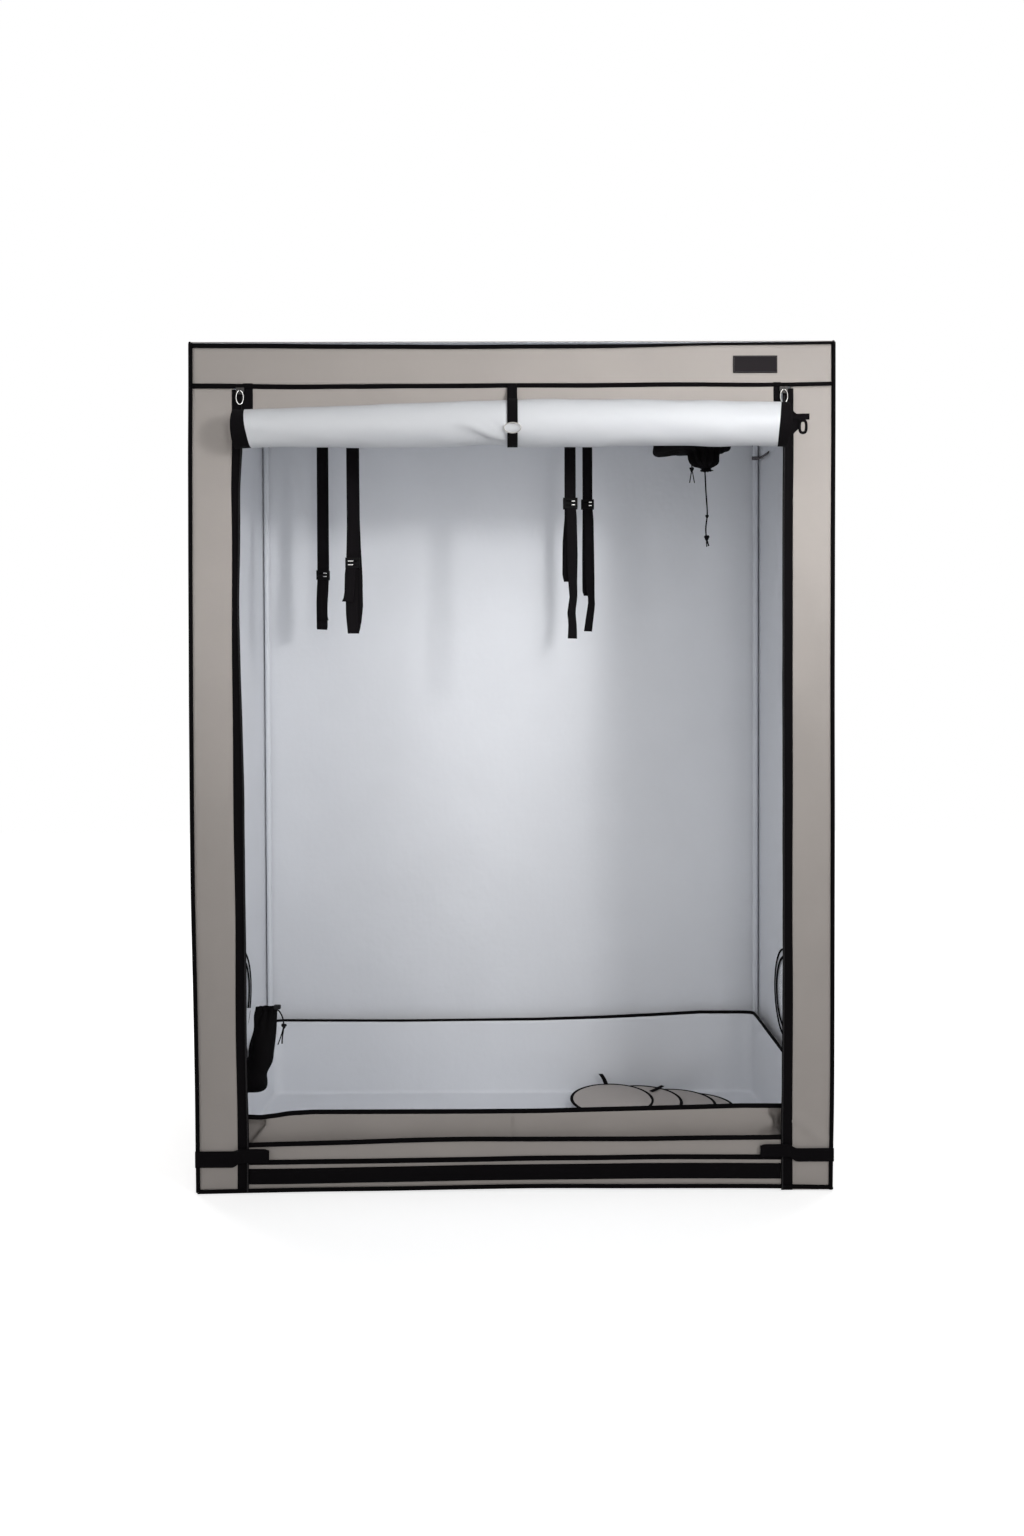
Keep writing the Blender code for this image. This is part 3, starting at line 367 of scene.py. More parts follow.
# Each front seam: how far it reaches to both sides, then its heights and its widths at places across, in metres
frontSeams = {
    "bindingLowFront": {
        "reach": 0.75,
        "heights": (
            (-0.75, -0.55, -0.2, 0.0, 0.3, 0.55, 0.75), (0.0046, 0.0078, 0.0108, 0.014, 0.0128, 0.011, 0.0086),
        ),
        "widths": ((-0.75, 0.75), (0.0104, 0.0104)),
    },
    "bindingHighFront": {
        "reach": 0.75,
        "heights": (
            (-0.75, -0.5, 0.0, 0.25, 0.45, 0.6, 0.75), (1.9908, 1.9886, 1.9868, 1.988, 1.992, 1.9932, 1.9938),
        ),
        "widths": ((-0.75, 0.2, 0.42, 0.75), (0.0106, 0.0094, 0.0054, 0.0062)),
    },
    "bindingHeader": {
        "reach": 0.747,
        "heights": (
            (-0.75, -0.5, -0.25, 0.1, 0.4, 0.6, 0.75), (1.8974, 1.8952, 1.8958, 1.8966, 1.8976, 1.898, 1.8998),
        ),
        "widths": ((-0.75, 0.3, 0.75), (0.0118, 0.011, 0.009)),
    },
    "bindingSillTop": {
        "reach": 0.63,
        "heights": (
            (-0.63, -0.54, -0.4, -0.28, -0.1, 0.1, 0.3, 0.5, 0.63),
            (0.115, 0.1178, 0.1216, 0.125, 0.1272, 0.1262, 0.1262, 0.1276, 0.1288),
        ),
        "widths": ((-0.63, 0.63), (0.0116, 0.0116)),
    },
    "bindingSillLow": {
        "reach": 0.63,
        "heights": (
            (-0.63, -0.54, -0.28, 0.0, 0.2, 0.33, 0.5, 0.63),
            (0.074, 0.0744, 0.0768, 0.08, 0.0812, 0.0828, 0.0816, 0.0806),
        ),
        "widths": ((-0.63, 0.63), (0.012, 0.012)),
    },
}
# How far each front side seam stands outwards at places up it
sideSeams = {
    -1: (
        (0.0, 0.224, 0.459, 0.694, 0.929, 1.164, 1.4, 1.634, 1.75, 1.869, 2.0),
        (-0.0002, 0.0004, 0.0025, 0.0066, 0.007, 0.0064, 0.0051, 0.0042, 0.0034, 0.001, 0.0006),
    ),
    1: ((0.0, 0.08, 0.2, 0.6, 1.1, 2.0), (-0.001, 0.0, 0.0022, 0.0026, 0.0018, 0.002)),
}
# Panels whose low or high edge follows a seam
panelEdges = {"sillCloth": ("bindingLowFront", "bindingSillTop"), "headerCloth": (None, "bindingHighFront")}
# Creases in a panel: start and end places across and high, then depth and width
panelCreases = {
    "rightJamb": (((0.664, 0.18), (0.744, 0.115), 0.0056, 0.012),),
    "leftJamb": (((-0.675, 1.63), (-0.73, 1.46), 0.0012, 0.016),),
}


def panelSwell(name, u, v, edge, swell):
    # A fold line: the cloth rises on one side of it and falls on the other, by a Gaussian's slope.
    for start, end, depth, width in panelCreases.get(name, ()):
        beside, along = besideLine(u, v, start, end)
        off = beside / width
        inLine = smoothStep(along, -0.1, 0.15) * smoothStep(1.1 - along, 0, 0.25) * smoothStep(edge, 0, 0.006)
        swell = swell + depth * (1 + off) * np.exp(-off * off) * inLine
    return swell


def followSeams(name, points, low, high):
    # The side panels and jambs go out with the side seams, and low and high edges go with the front seams.
    x, y, z = (points[..., i] for i in range(3))
    side = {"left": -1, "righ": 1}.get(name[:4], 0)
    if side:
        nearness = (side * x - 0.65) / 0.1 if "Jamb" in name else (0.1 - y) / 0.5
        x += side * np.clip(nearness, 0, 1) * np.interp(z, *sideSeams[side])
    if name in panelEdges:
        share = (z - low[2]) / (high[2] - low[2])
        start, end = (
            np.interp(x, *frontSeams[seam]["heights"]) if seam else edge
            for seam, edge in zip(panelEdges[name], (low[2], high[2]))
        )
        z[:] = start + (end - start) * share
    if name == "groundCloth":
        # The front edge draws back where the front seam lifts off the floor.
        back = 2.4 * np.clip(np.interp(x, *frontSeams["bindingLowFront"]["heights"]) - 0.005, 0, None)
        y += back * (high[1] - y) / (high[1] - low[1])


def panelPiece(name, node, axes, proud, longest, shortest, holes, seed):
    # A flat sheet in the middle of its solid. It stands proud by a share that grows from nothing at
    # the seams, times one plus soft waves. Points near a hole's rim move onto it.
    low, high = nodeBox(node)
    uAxis, vAxis = (axisOf[letter] for letter in axes)
    outward = np.cross(uAxis, vAxis)
    uRange, vRange = ((low @ axis, high @ axis) for axis in (uAxis, vAxis))
    size = (uRange[1] - uRange[0], vRange[1] - vRange[0])
    cell = coverCloth["cell"]
    counts = [max(3, round(span / cell) + 1) for span in size]
    u, v = np.meshgrid(np.linspace(*uRange, counts[0]), np.linspace(*vRange, counts[1]), indexing="ij")
    inHole, near = np.zeros(u.shape, bool), coverCloth["snap"] * cell
    for uHole, vHole, radius in holes:
        far = np.hypot(u - uHole, v - vHole)
        grow = np.where(np.abs(far - radius) < near, radius / np.maximum(far, 1e-6), 1)
        inHole |= far < radius - near
        u, v = uHole + (u - uHole) * grow, vHole + (v - vHole) * grow
    edge = np.minimum.reduce([u - uRange[0], uRange[1] - u, v - vRange[0], vRange[1] - v])
    for uHole, vHole, radius in holes:
        edge = np.minimum(edge, np.maximum(np.hypot(u - uHole, v - vHole) - radius, 0))
    fall = smoothStep(edge, 0, min(coverCloth["fallWidth"], 0.45 * min(size)))
    waves = coverCloth["waveShare"] * softWaves(u, v, seed, longest, shortest)
    swell = panelSwell(name, u, v, edge, proud * fall * (coverCloth["evenShare"] + waves))
    level = outward @ ((low + high) / 2)
    points = u[..., None] * uAxis + v[..., None] * vAxis + level * outward + swell[..., None] * outward
    faces = gridFaces(*counts)
    faces = faces[~inHole.ravel()[faces].any(1)]
    for uHole, vHole, radius in holes:
        centre = points.reshape(-1, 3)[faces].mean(1)
        faces = faces[np.hypot(centre @ uAxis - uHole, centre @ vAxis - vHole) > 0.985 * radius]
    followSeams(name, points, low, high)
    look = {"uv": gather(u, v), "slot": "cover_cloth", "thickness": coverCloth["thickness"], "node": node}
    piece = newPiece(name, points, [faces], [beigeCloth, whiteCloth], **look)
    return piece, size, size[0] * size[1] - sum(math.pi * r**2 for _, _, r in holes)


panelPieces = {name: panelPiece(name, *spec, seed + 3) for seed, (name, spec) in enumerate(panels.items())}
print("cover panels made")

# half and halfDeep are where the seams start to stand out, and out is how far the plain ones do.
binding = {
    "half": 0.7492, "halfDeep": 0.3996, "front": -0.402, "top": 1.996, "wander": 0.0006,
    "wide": 0.0108, "deep": 0.0046, "sideThick": 0.0092, "backThick": 0.007, "out": 0.0026,
}


def bindingPiece(name, path, wide, deep, up, seed):
    # A bound seam: a flat rounded strip along a path that wanders a little to the sides.
    side = unit(np.cross(unit(np.gradient(path, axis=0)), np.asarray(up, float)))
    share = np.linspace(0, 1, len(path))
    off = binding["wander"] * softWaves(share * 2, 0, seed, 0.9, 0.25)
    return boundEdge(name, path + side * off[:, None], wide, deep, up, closed=False)


def smoothLine(low, high, table, count=90):
    # Places evenly spread from low to high and the table's smoothed values there.
    at = np.linspace(low, high, count)
    return at, smoothed(np.interp(at, *table), 6)


def addBindings():
    # Up and along both sides, across the back, and then the front seams by their tables.
    half, back, top = binding["half"], binding["halfDeep"], binding["top"]
    wide, deep, thick = binding["wide"], binding["deep"], binding["backThick"]
    made = {}
    for side, word in ((-1, "Left"), (1, "Right")):
        for way, depth in ((-1, "Front"), (1, "Back")):
            name = f"binding{depth}{word}"
            z, spread, own = np.linspace(0.004, top, 90), np.full(90, binding["out"]), thick
            if way < 0:
                (z, spread), own = smoothLine(0.003, top, sideSeams[side]), binding["sideThick"]
            path = gather(side * (half + spread), way * (back + 0.0012), z)
            made[name] = bindingPiece(name, path, own, own, (side, way, 0), len(made))
        x = side * (half + 0.002)
        for level, z in (("Low", 0.0052), ("High", 1.9976)):
            name = f"binding{level}{word}"
            path = np.linspace((x, -back, z), (x, back, z), 60)
            made[name] = bindingPiece(name, path, thick, thick, (0, 0, 1), len(made))
    for level, z in (("Low", 0.0058), ("High", top)):
        name = f"binding{level}Back"
        path = np.linspace((-half, back + 0.0022, z), (half, back + 0.0022, z), 90)
        made[name] = bindingPiece(name, path, wide, deep, (0, 1, 0), len(made))
    for name, spec in frontSeams.items():
        x, z = smoothLine(-spec["reach"], spec["reach"], spec["heights"])
        path = gather(x, binding["front"], z)
        made[name] = bindingPiece(name, path, np.interp(x, *spec["widths"]), deep, (0, 1, 0), len(made) + 20)
    return made


bindings = addBindings()
print("bindings made")

# Frame, joints, buckles and sliders keep their solids' shapes, with smooth shading.
slotOf = {row["node"]: row["material_slot"] for row in frame["record"]["subparts"]}
bodyOf = {node: body for body, nodes in frame["record"]["behaviour"]["bodies"].items() for node in nodes}
finishBySlot = {"tube_paint": tubePaint, "joint_plastic": jointPlastic, "zip_metal": zipMetal}
hardware = {
    "kinds": (
        "upright_", "floor_rail_", "roof_rail_", "floor_corner_", "roof_corner_", "crossbar_", "buckle_",
        "zip_slider_", "zip_pull_",
    ),
    "ownFinish": {"zip_slider_": sliderMetal, "buckle_": bucklePlastic},
    "joinWithin": 2e-6,
    "sharpDegrees": 38,
}


def smoothCopy(node):
    # The solid's own faces, joined where they meet, so that round faces shade smoothly.
    mesh = frame["nodes"][node].data
    points = np.zeros(len(mesh.vertices) * 3)
    mesh.vertices.foreach_get("co", points)
    corners = np.zeros(len(mesh.loops), np.int32)
    mesh.loops.foreach_get("vertex_index", corners)
    rounded = np.round(points.reshape(-1, 3) / hardware["joinWithin"]).astype(np.int64)
    kept, where = np.unique(rounded, axis=0, return_inverse=True)
    faces = where.ravel()[corners].reshape(-1, 3)
    whole = (faces[:, 0] != faces[:, 1]) & (faces[:, 1] != faces[:, 2]) & (faces[:, 2] != faces[:, 0])
    own = [finish for start, finish in hardware["ownFinish"].items() if node.startswith(start)]
    finish = own[0] if own else finishBySlot[slotOf[node]]
    points = kept * hardware["joinWithin"]
    piece = newPiece(f"{node}_smooth", points, [faces[whole]], finish, slot=slotOf[node], body=bodyOf[node])
    piece.data.set_sharp_from_angle(angle=math.radians(hardware["sharpDegrees"]))
    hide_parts(node)


dressed = [smoothCopy(node) for node in sorted(frame["nodes"]) if node.startswith(hardware["kinds"])]
print("hardware dressed:", len(dressed))

# How far each tape's free edge draws back towards its jamb at places up it
zipEdges = {
    -1: (
        (0.15, 0.224, 0.459, 0.694, 0.929, 1.164, 1.399, 1.634, 1.75, 1.85),
        (0.0006, 0.0018, 0.001, 0.003, 0.0004, 0.0056, 0.01, 0.0068, 0.0024, 0.0),
    ),
    1: ((0.15, 0.224, 0.459, 0.694, 0.929, 1.2, 1.75), (0.0, 0.0012, 0.0024, 0.004, 0.0028, 0.0024, 0.0022)),
}
zipSetup = {
    "centre": 0.6438, "tape": 0.0272, "thickness": 0.001, "depth": -0.401, "low": 0.002, "high": 1.889,
    "sway": 0.0016, "leftShift": 0.0036, "ripple": 0.0012, "sliderLow": 0.1845,
    "coilPitch": 0.0026, "coilTop": 1.872, "coilIn": 0.0022, "coilOut": 0.0042, "coilThick": 0.0022, "tooth": 0.001,
}


def zipTapePiece(side, word):
    # A ribbon whose middle line sways from side to side, with a ripple near its free edge.
    tape = zipSetup["tape"]
    z = np.linspace(zipSetup["low"], zipSetup["high"], 220)
    across = np.linspace(-0.5, 0.5, 7)
    sway = zipSetup["sway"] * softWaves(z, 0, 40 + side, 0.9, 0.3) * smoothStep(1.88 - z, 0, 0.2)
    middle = side * zipSetup["centre"] + sway
    if side < 0:
        middle = middle + zipSetup["leftShift"] * smoothStep(z, 1.64, 1.76)
    draw = smoothed(np.interp(z, *zipEdges[side]), 12)
    x = middle[:, None] + tape * across + side * draw[:, None] * (0.5 - side * across)
    free = smoothStep(-side * across, 0.1, 0.5)
    # The ripple dies out under the slider at both ends of its way.
    flatter = smoothStep(1.84 - z, 0, 0.05) * smoothStep(np.abs(z - zipSetup["sliderLow"]), 0.014, 0.05)
    waves = (1 + softWaves(z, 0, 43 + side, 0.35, 0.1)) * flatter
    y = zipSetup["depth"] - zipSetup["ripple"] * free * waves[:, None]
    points = gather(x, y, z[:, None])[:, ::-1]
    look = {"uv": gather(z[:, None], across[::-1] * tape), "slot": "webbing", "thickness": zipSetup["thickness"]}
    piece = newPiece(f"zipTape_{word}", points, [gridFaces(220, 7)], webbingCloth, node=f"zip_tape_{word}", **look)
    return piece, middle + side * draw, z


def zipCoilPiece(side, name, middle, z):
    # Half of the coil: a thin bead down the tape's free edge whose section swells once for each tooth.
    fine = np.arange(z[0] + 0.003, zipSetup["coilTop"], zipSetup["coilPitch"] / 4)
    x = np.interp(fine, z, middle) - side * (zipSetup["tape"] / 2 - zipSetup["coilIn"])
    path = gather(x, zipSetup["depth"] - zipSetup["coilOut"], fine)
    swell = zipSetup["coilThick"] + zipSetup["tooth"] * (0.5 + 0.5 * np.sin(2 * np.pi * fine / zipSetup["coilPitch"]))
    return tubePiece(name, path, swell * 1.3, swell, zipCoil, sides=6, up=(0, 1, 0), slot="webbing")


for side, word in ((-1, "left"), (1, "right")):
    tape, middle, z = zipTapePiece(side, word)
    coil = zipCoilPiece(side, f"zipCoil_{word}", middle, z)
print("zips made")

bandSetup = {"wide": 0.0366, "half": 0.6297, "depth": -0.4024, "thickness": 0.0014, "wander": 0.0004}
bandHeights = (
    (-0.63, -0.54, -0.28, -0.1, 0.1, 0.3, 0.5, 0.63), (0.0405, 0.041, 0.0444, 0.0476, 0.048, 0.0492, 0.0488, 0.0478),
)
x = np.linspace(-bandSetup["half"], bandSetup["half"], 120)
z = np.interp(x, *bandHeights) + bandSetup["wander"] * softWaves(x, 0, 51, 0.8, 0.3)
path = gather(x, bandSetup["depth"], z)
hookBand, bandLength = ribbonPiece(
    "hookBand", path, bandSetup["wide"], (0, 0, 1), webbingCloth, bandSetup["thickness"], node="hook_band"
)

# Places across where each strap starts, turns into its flap and ends, then the heights and widths of both parts
cornerStraps = {
    "left": {
        "from": -0.7545, "to": -0.656, "end": -0.5785, "height": 0.0822, "wide": 0.0385, "flapHeight": 0.0915,
        "flapWide": 0.033,
    },
    "right": {
        "from": 0.7545, "to": 0.656, "end": 0.579, "height": 0.0865, "wide": 0.0315, "flapHeight": 0.0988,
        "flapWide": 0.03,
    },
}
cornerShape = {"depth": -0.405, "step": 0.004, "curl": 0.004, "taper": 0.12, "thickness": 0.0018}


def cornerStrapPiece(word, spec):
    # Webbing from the side seam across the jamb, then over the zip as a wider flap whose end curls out.
    side = math.copysign(1, spec["from"])
    share = np.linspace(0, 1, 40)
    x = spec["from"] + (spec["end"] - spec["from"]) * share
    turn = smoothStep(-side * x, -side * spec["to"] - 0.012, -side * spec["to"] + 0.012)
    y = cornerShape["depth"] - cornerShape["step"] * turn - cornerShape["curl"] * smoothStep(share, 0.9, 1) ** 2
    z = spec["height"] + (spec["flapHeight"] - spec["height"]) * turn
    wide = spec["wide"] + (spec["flapWide"] - spec["wide"]) * turn
    wide = wide * (1 - cornerShape["taper"] * smoothStep(share, 0.93, 1))
    path, thickness = gather(x, y, z), cornerShape["thickness"]
    piece, length = ribbonPiece(f"cornerStrap_{word}", path, wide, (0, 0, 1), webbingCloth, thickness, columns=7)


for word, spec in cornerStraps.items():
    cornerStrapPiece(word, spec)

labelSetup = {
    "left": 0.5164, "right": 0.6194, "low": 1.9246, "high": 1.9648, "front": -0.4036, "back": -0.4014,
    "bevel": 0.0004, "stitchIn": 0.0022, "stitchOut": 0.0001, "stitchWide": 0.0007, "stitchDeep": 0.0005,
}


def labelPiece():
    # A thin dark patch on the header, and a line of thread round it a little inside its edge.
    lows = np.array([labelSetup["left"], labelSetup["front"], labelSetup["low"]])
    highs = np.array([labelSetup["right"], labelSetup["back"], labelSetup["high"]])
    roundedBox("labelPatch", lows, highs, labelCloth, labelSetup["bevel"], slot="webbing")
    low, high = lows + labelSetup["stitchIn"], highs - labelSetup["stitchIn"]
    y = labelSetup["front"] - labelSetup["stitchOut"]
    corners = [(low[0], y, low[2]), (high[0], y, low[2]), (high[0], y, high[2]), (low[0], y, high[2])]
    path = np.concatenate([np.linspace(corners[i], corners[(i + 1) % 4], 24, endpoint=False) for i in range(4)])
    wide, deep = labelSetup["stitchWide"], labelSetup["stitchDeep"]
    tubePiece("labelStitch", path, wide, deep, darkThread, sides=6, closed=True, up=(0, 1, 0), slot="webbing")


labelPiece()
print("bands, straps and label made")

rollSetup = {
    "leftEnd": -0.6355, "rightEnd": 0.6285, "flapHalf": 0.628, "bottom": 1.7395, "rear": -0.415,
    "seam": (-0.4011, 1.8973), "drop": 0.006, "cloth": 0.0016, "thickness": 0.0014, "pitch": 0.0044, "turns": 9,
    "sag": 0.0016, "slack": 0.0012, "hangLength": 0.11, "turnLength": 0.28, "flatWide": 1.264, "halfLength": 0.655,
    "middleRadius": 0.0503, "tapeColumns": 6, "columns": 150,
    # Where the white cloth ends: its middle, then its sways with the sine and the cosine of the turn
    "whiteLeft": (-0.6035, -0.0055, 0.0), "whiteRight": (0.6098, 0.0041, -0.0091),
    # Where it ends on the hanging part, high and low
    "hangLeft": (-0.605, -0.6015), "hangRight": (0.6105, 0.6085),
    # The roll's radius at places across
    "radii": (
        (-0.66, -0.6, -0.3, -0.02, 0.1, 0.3, 0.62, 0.66),
        (0.0436, 0.044, 0.049, 0.054, 0.0543, 0.0532, 0.0504, 0.05),
    ),
}


def rollRadius(x):
    # The radius at places across, by straight lines between the table's.
    return np.interp(x, *rollSetup["radii"])


def rollDents(x, angle, outer):
    # Below a fold line that falls towards the centre strap the cloth is drawn in, by a depth that grows
    # towards the line's low end; a groove runs from it up beside the strap; a pinch and slow swells.
    # angle is the turn round the roll from its rear, under it and up the front, in whole turns.
    line = np.interp(x, (-0.13, -0.1, -0.089, -0.05, -0.018, 0.0), (0.452, 0.432, 0.419, 0.346, 0.312, 0.3))
    depth = np.interp(x, (-0.15, -0.095, -0.05, -0.014, 0.004), (0.0, 0.0034, 0.0082, 0.0022, 0.0))
    dent = -depth * smoothStep(line - angle, -0.004, 0.026) * smoothStep(angle, 0.13, 0.2)
    dent += 0.4 * depth * np.exp(-(((angle - line - 0.022) / 0.018) ** 2))
    groove = np.interp(x, (-0.054, -0.034, -0.0225, -0.016), (0.475, 0.438, 0.394, 0.33))
    beside = smoothStep(x, -0.056, -0.03) * smoothStep(-x, 0.01, 0.016)
    dent -= 0.003 * np.exp(-(((angle - groove) / 0.012) ** 2)) * beside
    dent -= 0.0016 * np.exp(-((x / 0.02) ** 2))
    dent += 0.0011 * softWaves(x, angle * 0.3, 61, 0.45, 0.14) + 0.0008 * softWaves(x, angle * 0.5, 62, 0.16, 0.06)
    return dent * outer


def rollEdges(side, word, turn, hang):
    # The tape's outer edge and the white cloth's edge at one end, down the hanging part and round the turns.
    end, half = rollSetup[word.lower() + "End"], side * rollSetup["flapHalf"]
    middle, bySine, byCosine = rollSetup["white" + word]
    join = smoothStep(turn, 0.0, 0.25)
    white = middle + bySine * np.sin(-2 * np.pi * turn) - byCosine * np.cos(2 * np.pi * turn)
    hanging = rollSetup["hang" + word]
    outer = np.concatenate([hang * 0 + half, half * (1 - join) + end * join])
    return outer, np.concatenate([np.interp(hang, (0, 1), hanging), hanging[1] * (1 - join) + white * join])


def between(first, second, count):
    # Rows evenly spread from the first places to the second.
    return first + (second - first) * np.linspace(0, 1, count)[:, None]


def doorRollPiece():
    # Spiral of cloth: the radius shrinks by the pitch each turn, round an axis that keeps the roll's
    # underside and rear in line. The first rows hang straight down from the header's seam. The columns
    # follow the edge between white cloth and black tape, which sways with the turn.
    tape, white, turnCount = rollSetup["tapeColumns"], rollSetup["columns"], rollSetup["turns"]
    turn = np.concatenate([np.linspace(0, 1, 57), np.linspace(1, turnCount, (turnCount - 1) * 24 + 1)[1:]])
    hang = np.linspace(0, 1, 14)[:-1]
    (outerLeft, left), (outerRight, right) = (
        rollEdges(side, word, turn, hang) for side, word in ((-1, "Left"), (1, "Right"))
    )
    parts = between(outerLeft, left, tape)[:-1], between(left, right, white), between(right, outerRight, tape)[1:]
    xs = np.concatenate(parts)
    turns = np.broadcast_to(np.concatenate([hang * 0, turn]), xs.shape)
    shares = np.broadcast_to(np.concatenate([hang, turn * 0 + 1]), xs.shape)
    radius = rollRadius(xs)
    dents = rollDents(xs, turns, smoothStep(1.05 - turns, 0, 0.1))
    shrink = rollSetup["pitch"] * turns * radius / rollSetup["middleRadius"]
    ownRadius = radius - rollSetup["cloth"] / 2 - shrink + dents
    angle = -2 * np.pi * turns
    sag = rollSetup["sag"] * np.cos(xs / rollSetup["halfLength"] * np.pi / 2)
    y = rollSetup["rear"] - radius + ownRadius * np.cos(angle)
    z = rollSetup["bottom"] + radius - sag + ownRadius * np.sin(angle)
    seamY, top = rollSetup["seam"][0], rollSetup["seam"][1] + rollSetup["drop"]
    slack = rollSetup["slack"] * np.sin(np.pi * shares) * (1 + softWaves(xs, shares * 0.1, 63, 0.4, 0.12))
    y = seamY + (y - seamY) * smoothStep(shares, 0.1, 1.0) - slack
    points = gather(xs, y, top + (z - top) * shares)
    uv = gather(xs, shares * rollSetup["hangLength"] + turns * rollSetup["turnLength"])
    look = {"uv": uv, "slot": "liner_cloth", "thickness": rollSetup["thickness"], "node": "door_roll"}
    faces = gridFaces(*xs.shape)
    column = faces[:, 0] // xs.shape[1]
    taped = (column < tape - 1) | (column >= tape - 2 + white)
    finishes = [rollCloth, beigeCloth, webbingCloth, webbingCloth]
    piece = newPiece("doorRoll", points, [faces], finishes, finishIndex=np.where(taped, 2, 0), **look)
    rounds = sum(2 * math.pi * (0.051 - rollSetup["pitch"] * (n + 0.5)) for n in range(turnCount))
    return piece, rollSetup["hangLength"] + rounds


doorRoll, doorLength = doorRollPiece()

holderStrap = {
    "wide": 0.0235, "thickness": 0.0014, "overRoll": -0.0004, "top": 1.833,
    "ringHeight": 1.7673, "ringTall": 0.0092, "ringWide": 0.019, "wire": 0.0022, "ringOut": 0.003,
    "hanging": ((0, -0.4052, 1.899), (0, -0.4075, 1.888), (0, -0.416, 1.87), (0, -0.431, 1.852)),
    "behind": ((0, -0.4105, 1.82), (0, -0.4, 1.86), (0, -0.3985, 1.895)),
}


def holderStrapPieces():
    # The holder strap in two lengths: one hangs in front from the header to the ring's upper bar, and the other comes
    # from behind, under the roll and up to the ring's lower bar.
    wide, thickness, wire = holderStrap["wide"], holderStrap["thickness"], holderStrap["wire"]
    ringZ, ringTall = holderStrap["ringHeight"], holderStrap["ringTall"]
    radius = float(rollRadius(0.0))
    centreY, centreZ = rollSetup["rear"] - radius, rollSetup["bottom"] + radius - rollSetup["sag"]
    lift = radius + holderStrap["overRoll"]

    def onRoll(z):
        # Places on the roll's front at these heights.
        turned = np.arcsin(np.clip((z - centreZ) / lift, -1, 1))
        return gather(0, centreY - lift * np.cos(turned), z)

    topZ = np.linspace(holderStrap["top"], ringZ + ringTall, 18)
    upper = pathThrough(np.concatenate([holderStrap["hanging"], onRoll(topZ)]), 60)
    upperStrap, upperLength = ribbonPiece("holderStrapUpper", upper, wide, (1, 0, 0), webbingCloth, thickness)
    front = onRoll(np.linspace(ringZ - ringTall, centreZ - lift * 0.985, 18))
    turned = np.linspace(-1.4, 0.35, 26)
    under = gather(0, centreY + lift * np.sin(turned), centreZ - lift * np.cos(turned))
    under = under[under[:, 1] > front[-1, 1] + 0.002]
    behind = pathThrough(np.concatenate([under[-2:], holderStrap["behind"]]), 24)[6:]
    lower = np.concatenate([front, under, behind])
    lowerStrap, lowerLength = ribbonPiece("holderStrapLower", lower, wide, (-1, 0, 0), webbingCloth, thickness)
    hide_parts("roll_strap")
    # The ring: an oval of wire that lies on the roll.
    turn = fullTurn(48)
    oval = onRoll(ringZ + (ringTall + 0.0008) * np.sin(turn))
    oval[:, 0] = holderStrap["ringWide"] * np.cos(turn)
    oval[:, 1] -= holderStrap["ringOut"]
    look = {"sides": 12, "closed": True, "up": (0, 1, 0), "slot": "ring_metal"}
    ring = tubePiece("strapRing", oval[::-1], wire, wire, ringMetal, node="roll_ring", **look)


holderStrapPieces()

endTab = {
    "fan": ((0.62, -0.467, 1.79), (0.634, -0.4675, 1.7905), (0.644, -0.467, 1.7915), (0.656, -0.466, 1.793)),
    "fanWidths": ((0.62, 0.632, 0.644, 0.656), (0.086, 0.072, 0.046, 0.026)),
    "fanFlat": 0.058, "fanThick": 0.0022,
    "bar": ((0.638, -0.469, 1.803), (0.655, -0.4692, 1.804), (0.6775, -0.4684, 1.8045)),
    "barWide": 0.0135, "barThick": 0.0024,
    "loop": (0.6625, -0.4695, 1.7815), "loopHalfWide": 0.0076, "loopHalfTall": 0.014, "loopTape": (0.0066, 0.0024),
}


def endTabPiece():
    # A fan of tape at the roll's right end, a short bar of webbing across it and a loop that hangs from the bar.
    path = pathThrough(endTab["fan"], 20)
    wide = np.interp(path[:, 0], *endTab["fanWidths"])
    fan, fanLength = ribbonPiece("endTabFan", path, wide, (0, 0, 1), webbingCloth, endTab["fanThick"], columns=7)
    bar = pathThrough(endTab["bar"], 16)
    tab, length = ribbonPiece("endTab", bar, endTab["barWide"], (0, 0, 1), webbingCloth, endTab["barThick"])
    reach, rise = roundedTurn(fullTurn(32), 0.7)
    loop = gather(endTab["loopHalfWide"] * reach, 0, endTab["loopHalfTall"] * rise) + endTab["loop"]
    look = {"sides": 8, "closed": True, "up": (0, 1, 0), "slot": "webbing"}
    tabLoop = tubePiece("endTabLoop", loop, *endTab["loopTape"], webbingCloth, **look)


endTabPiece()
print("rolled door made")

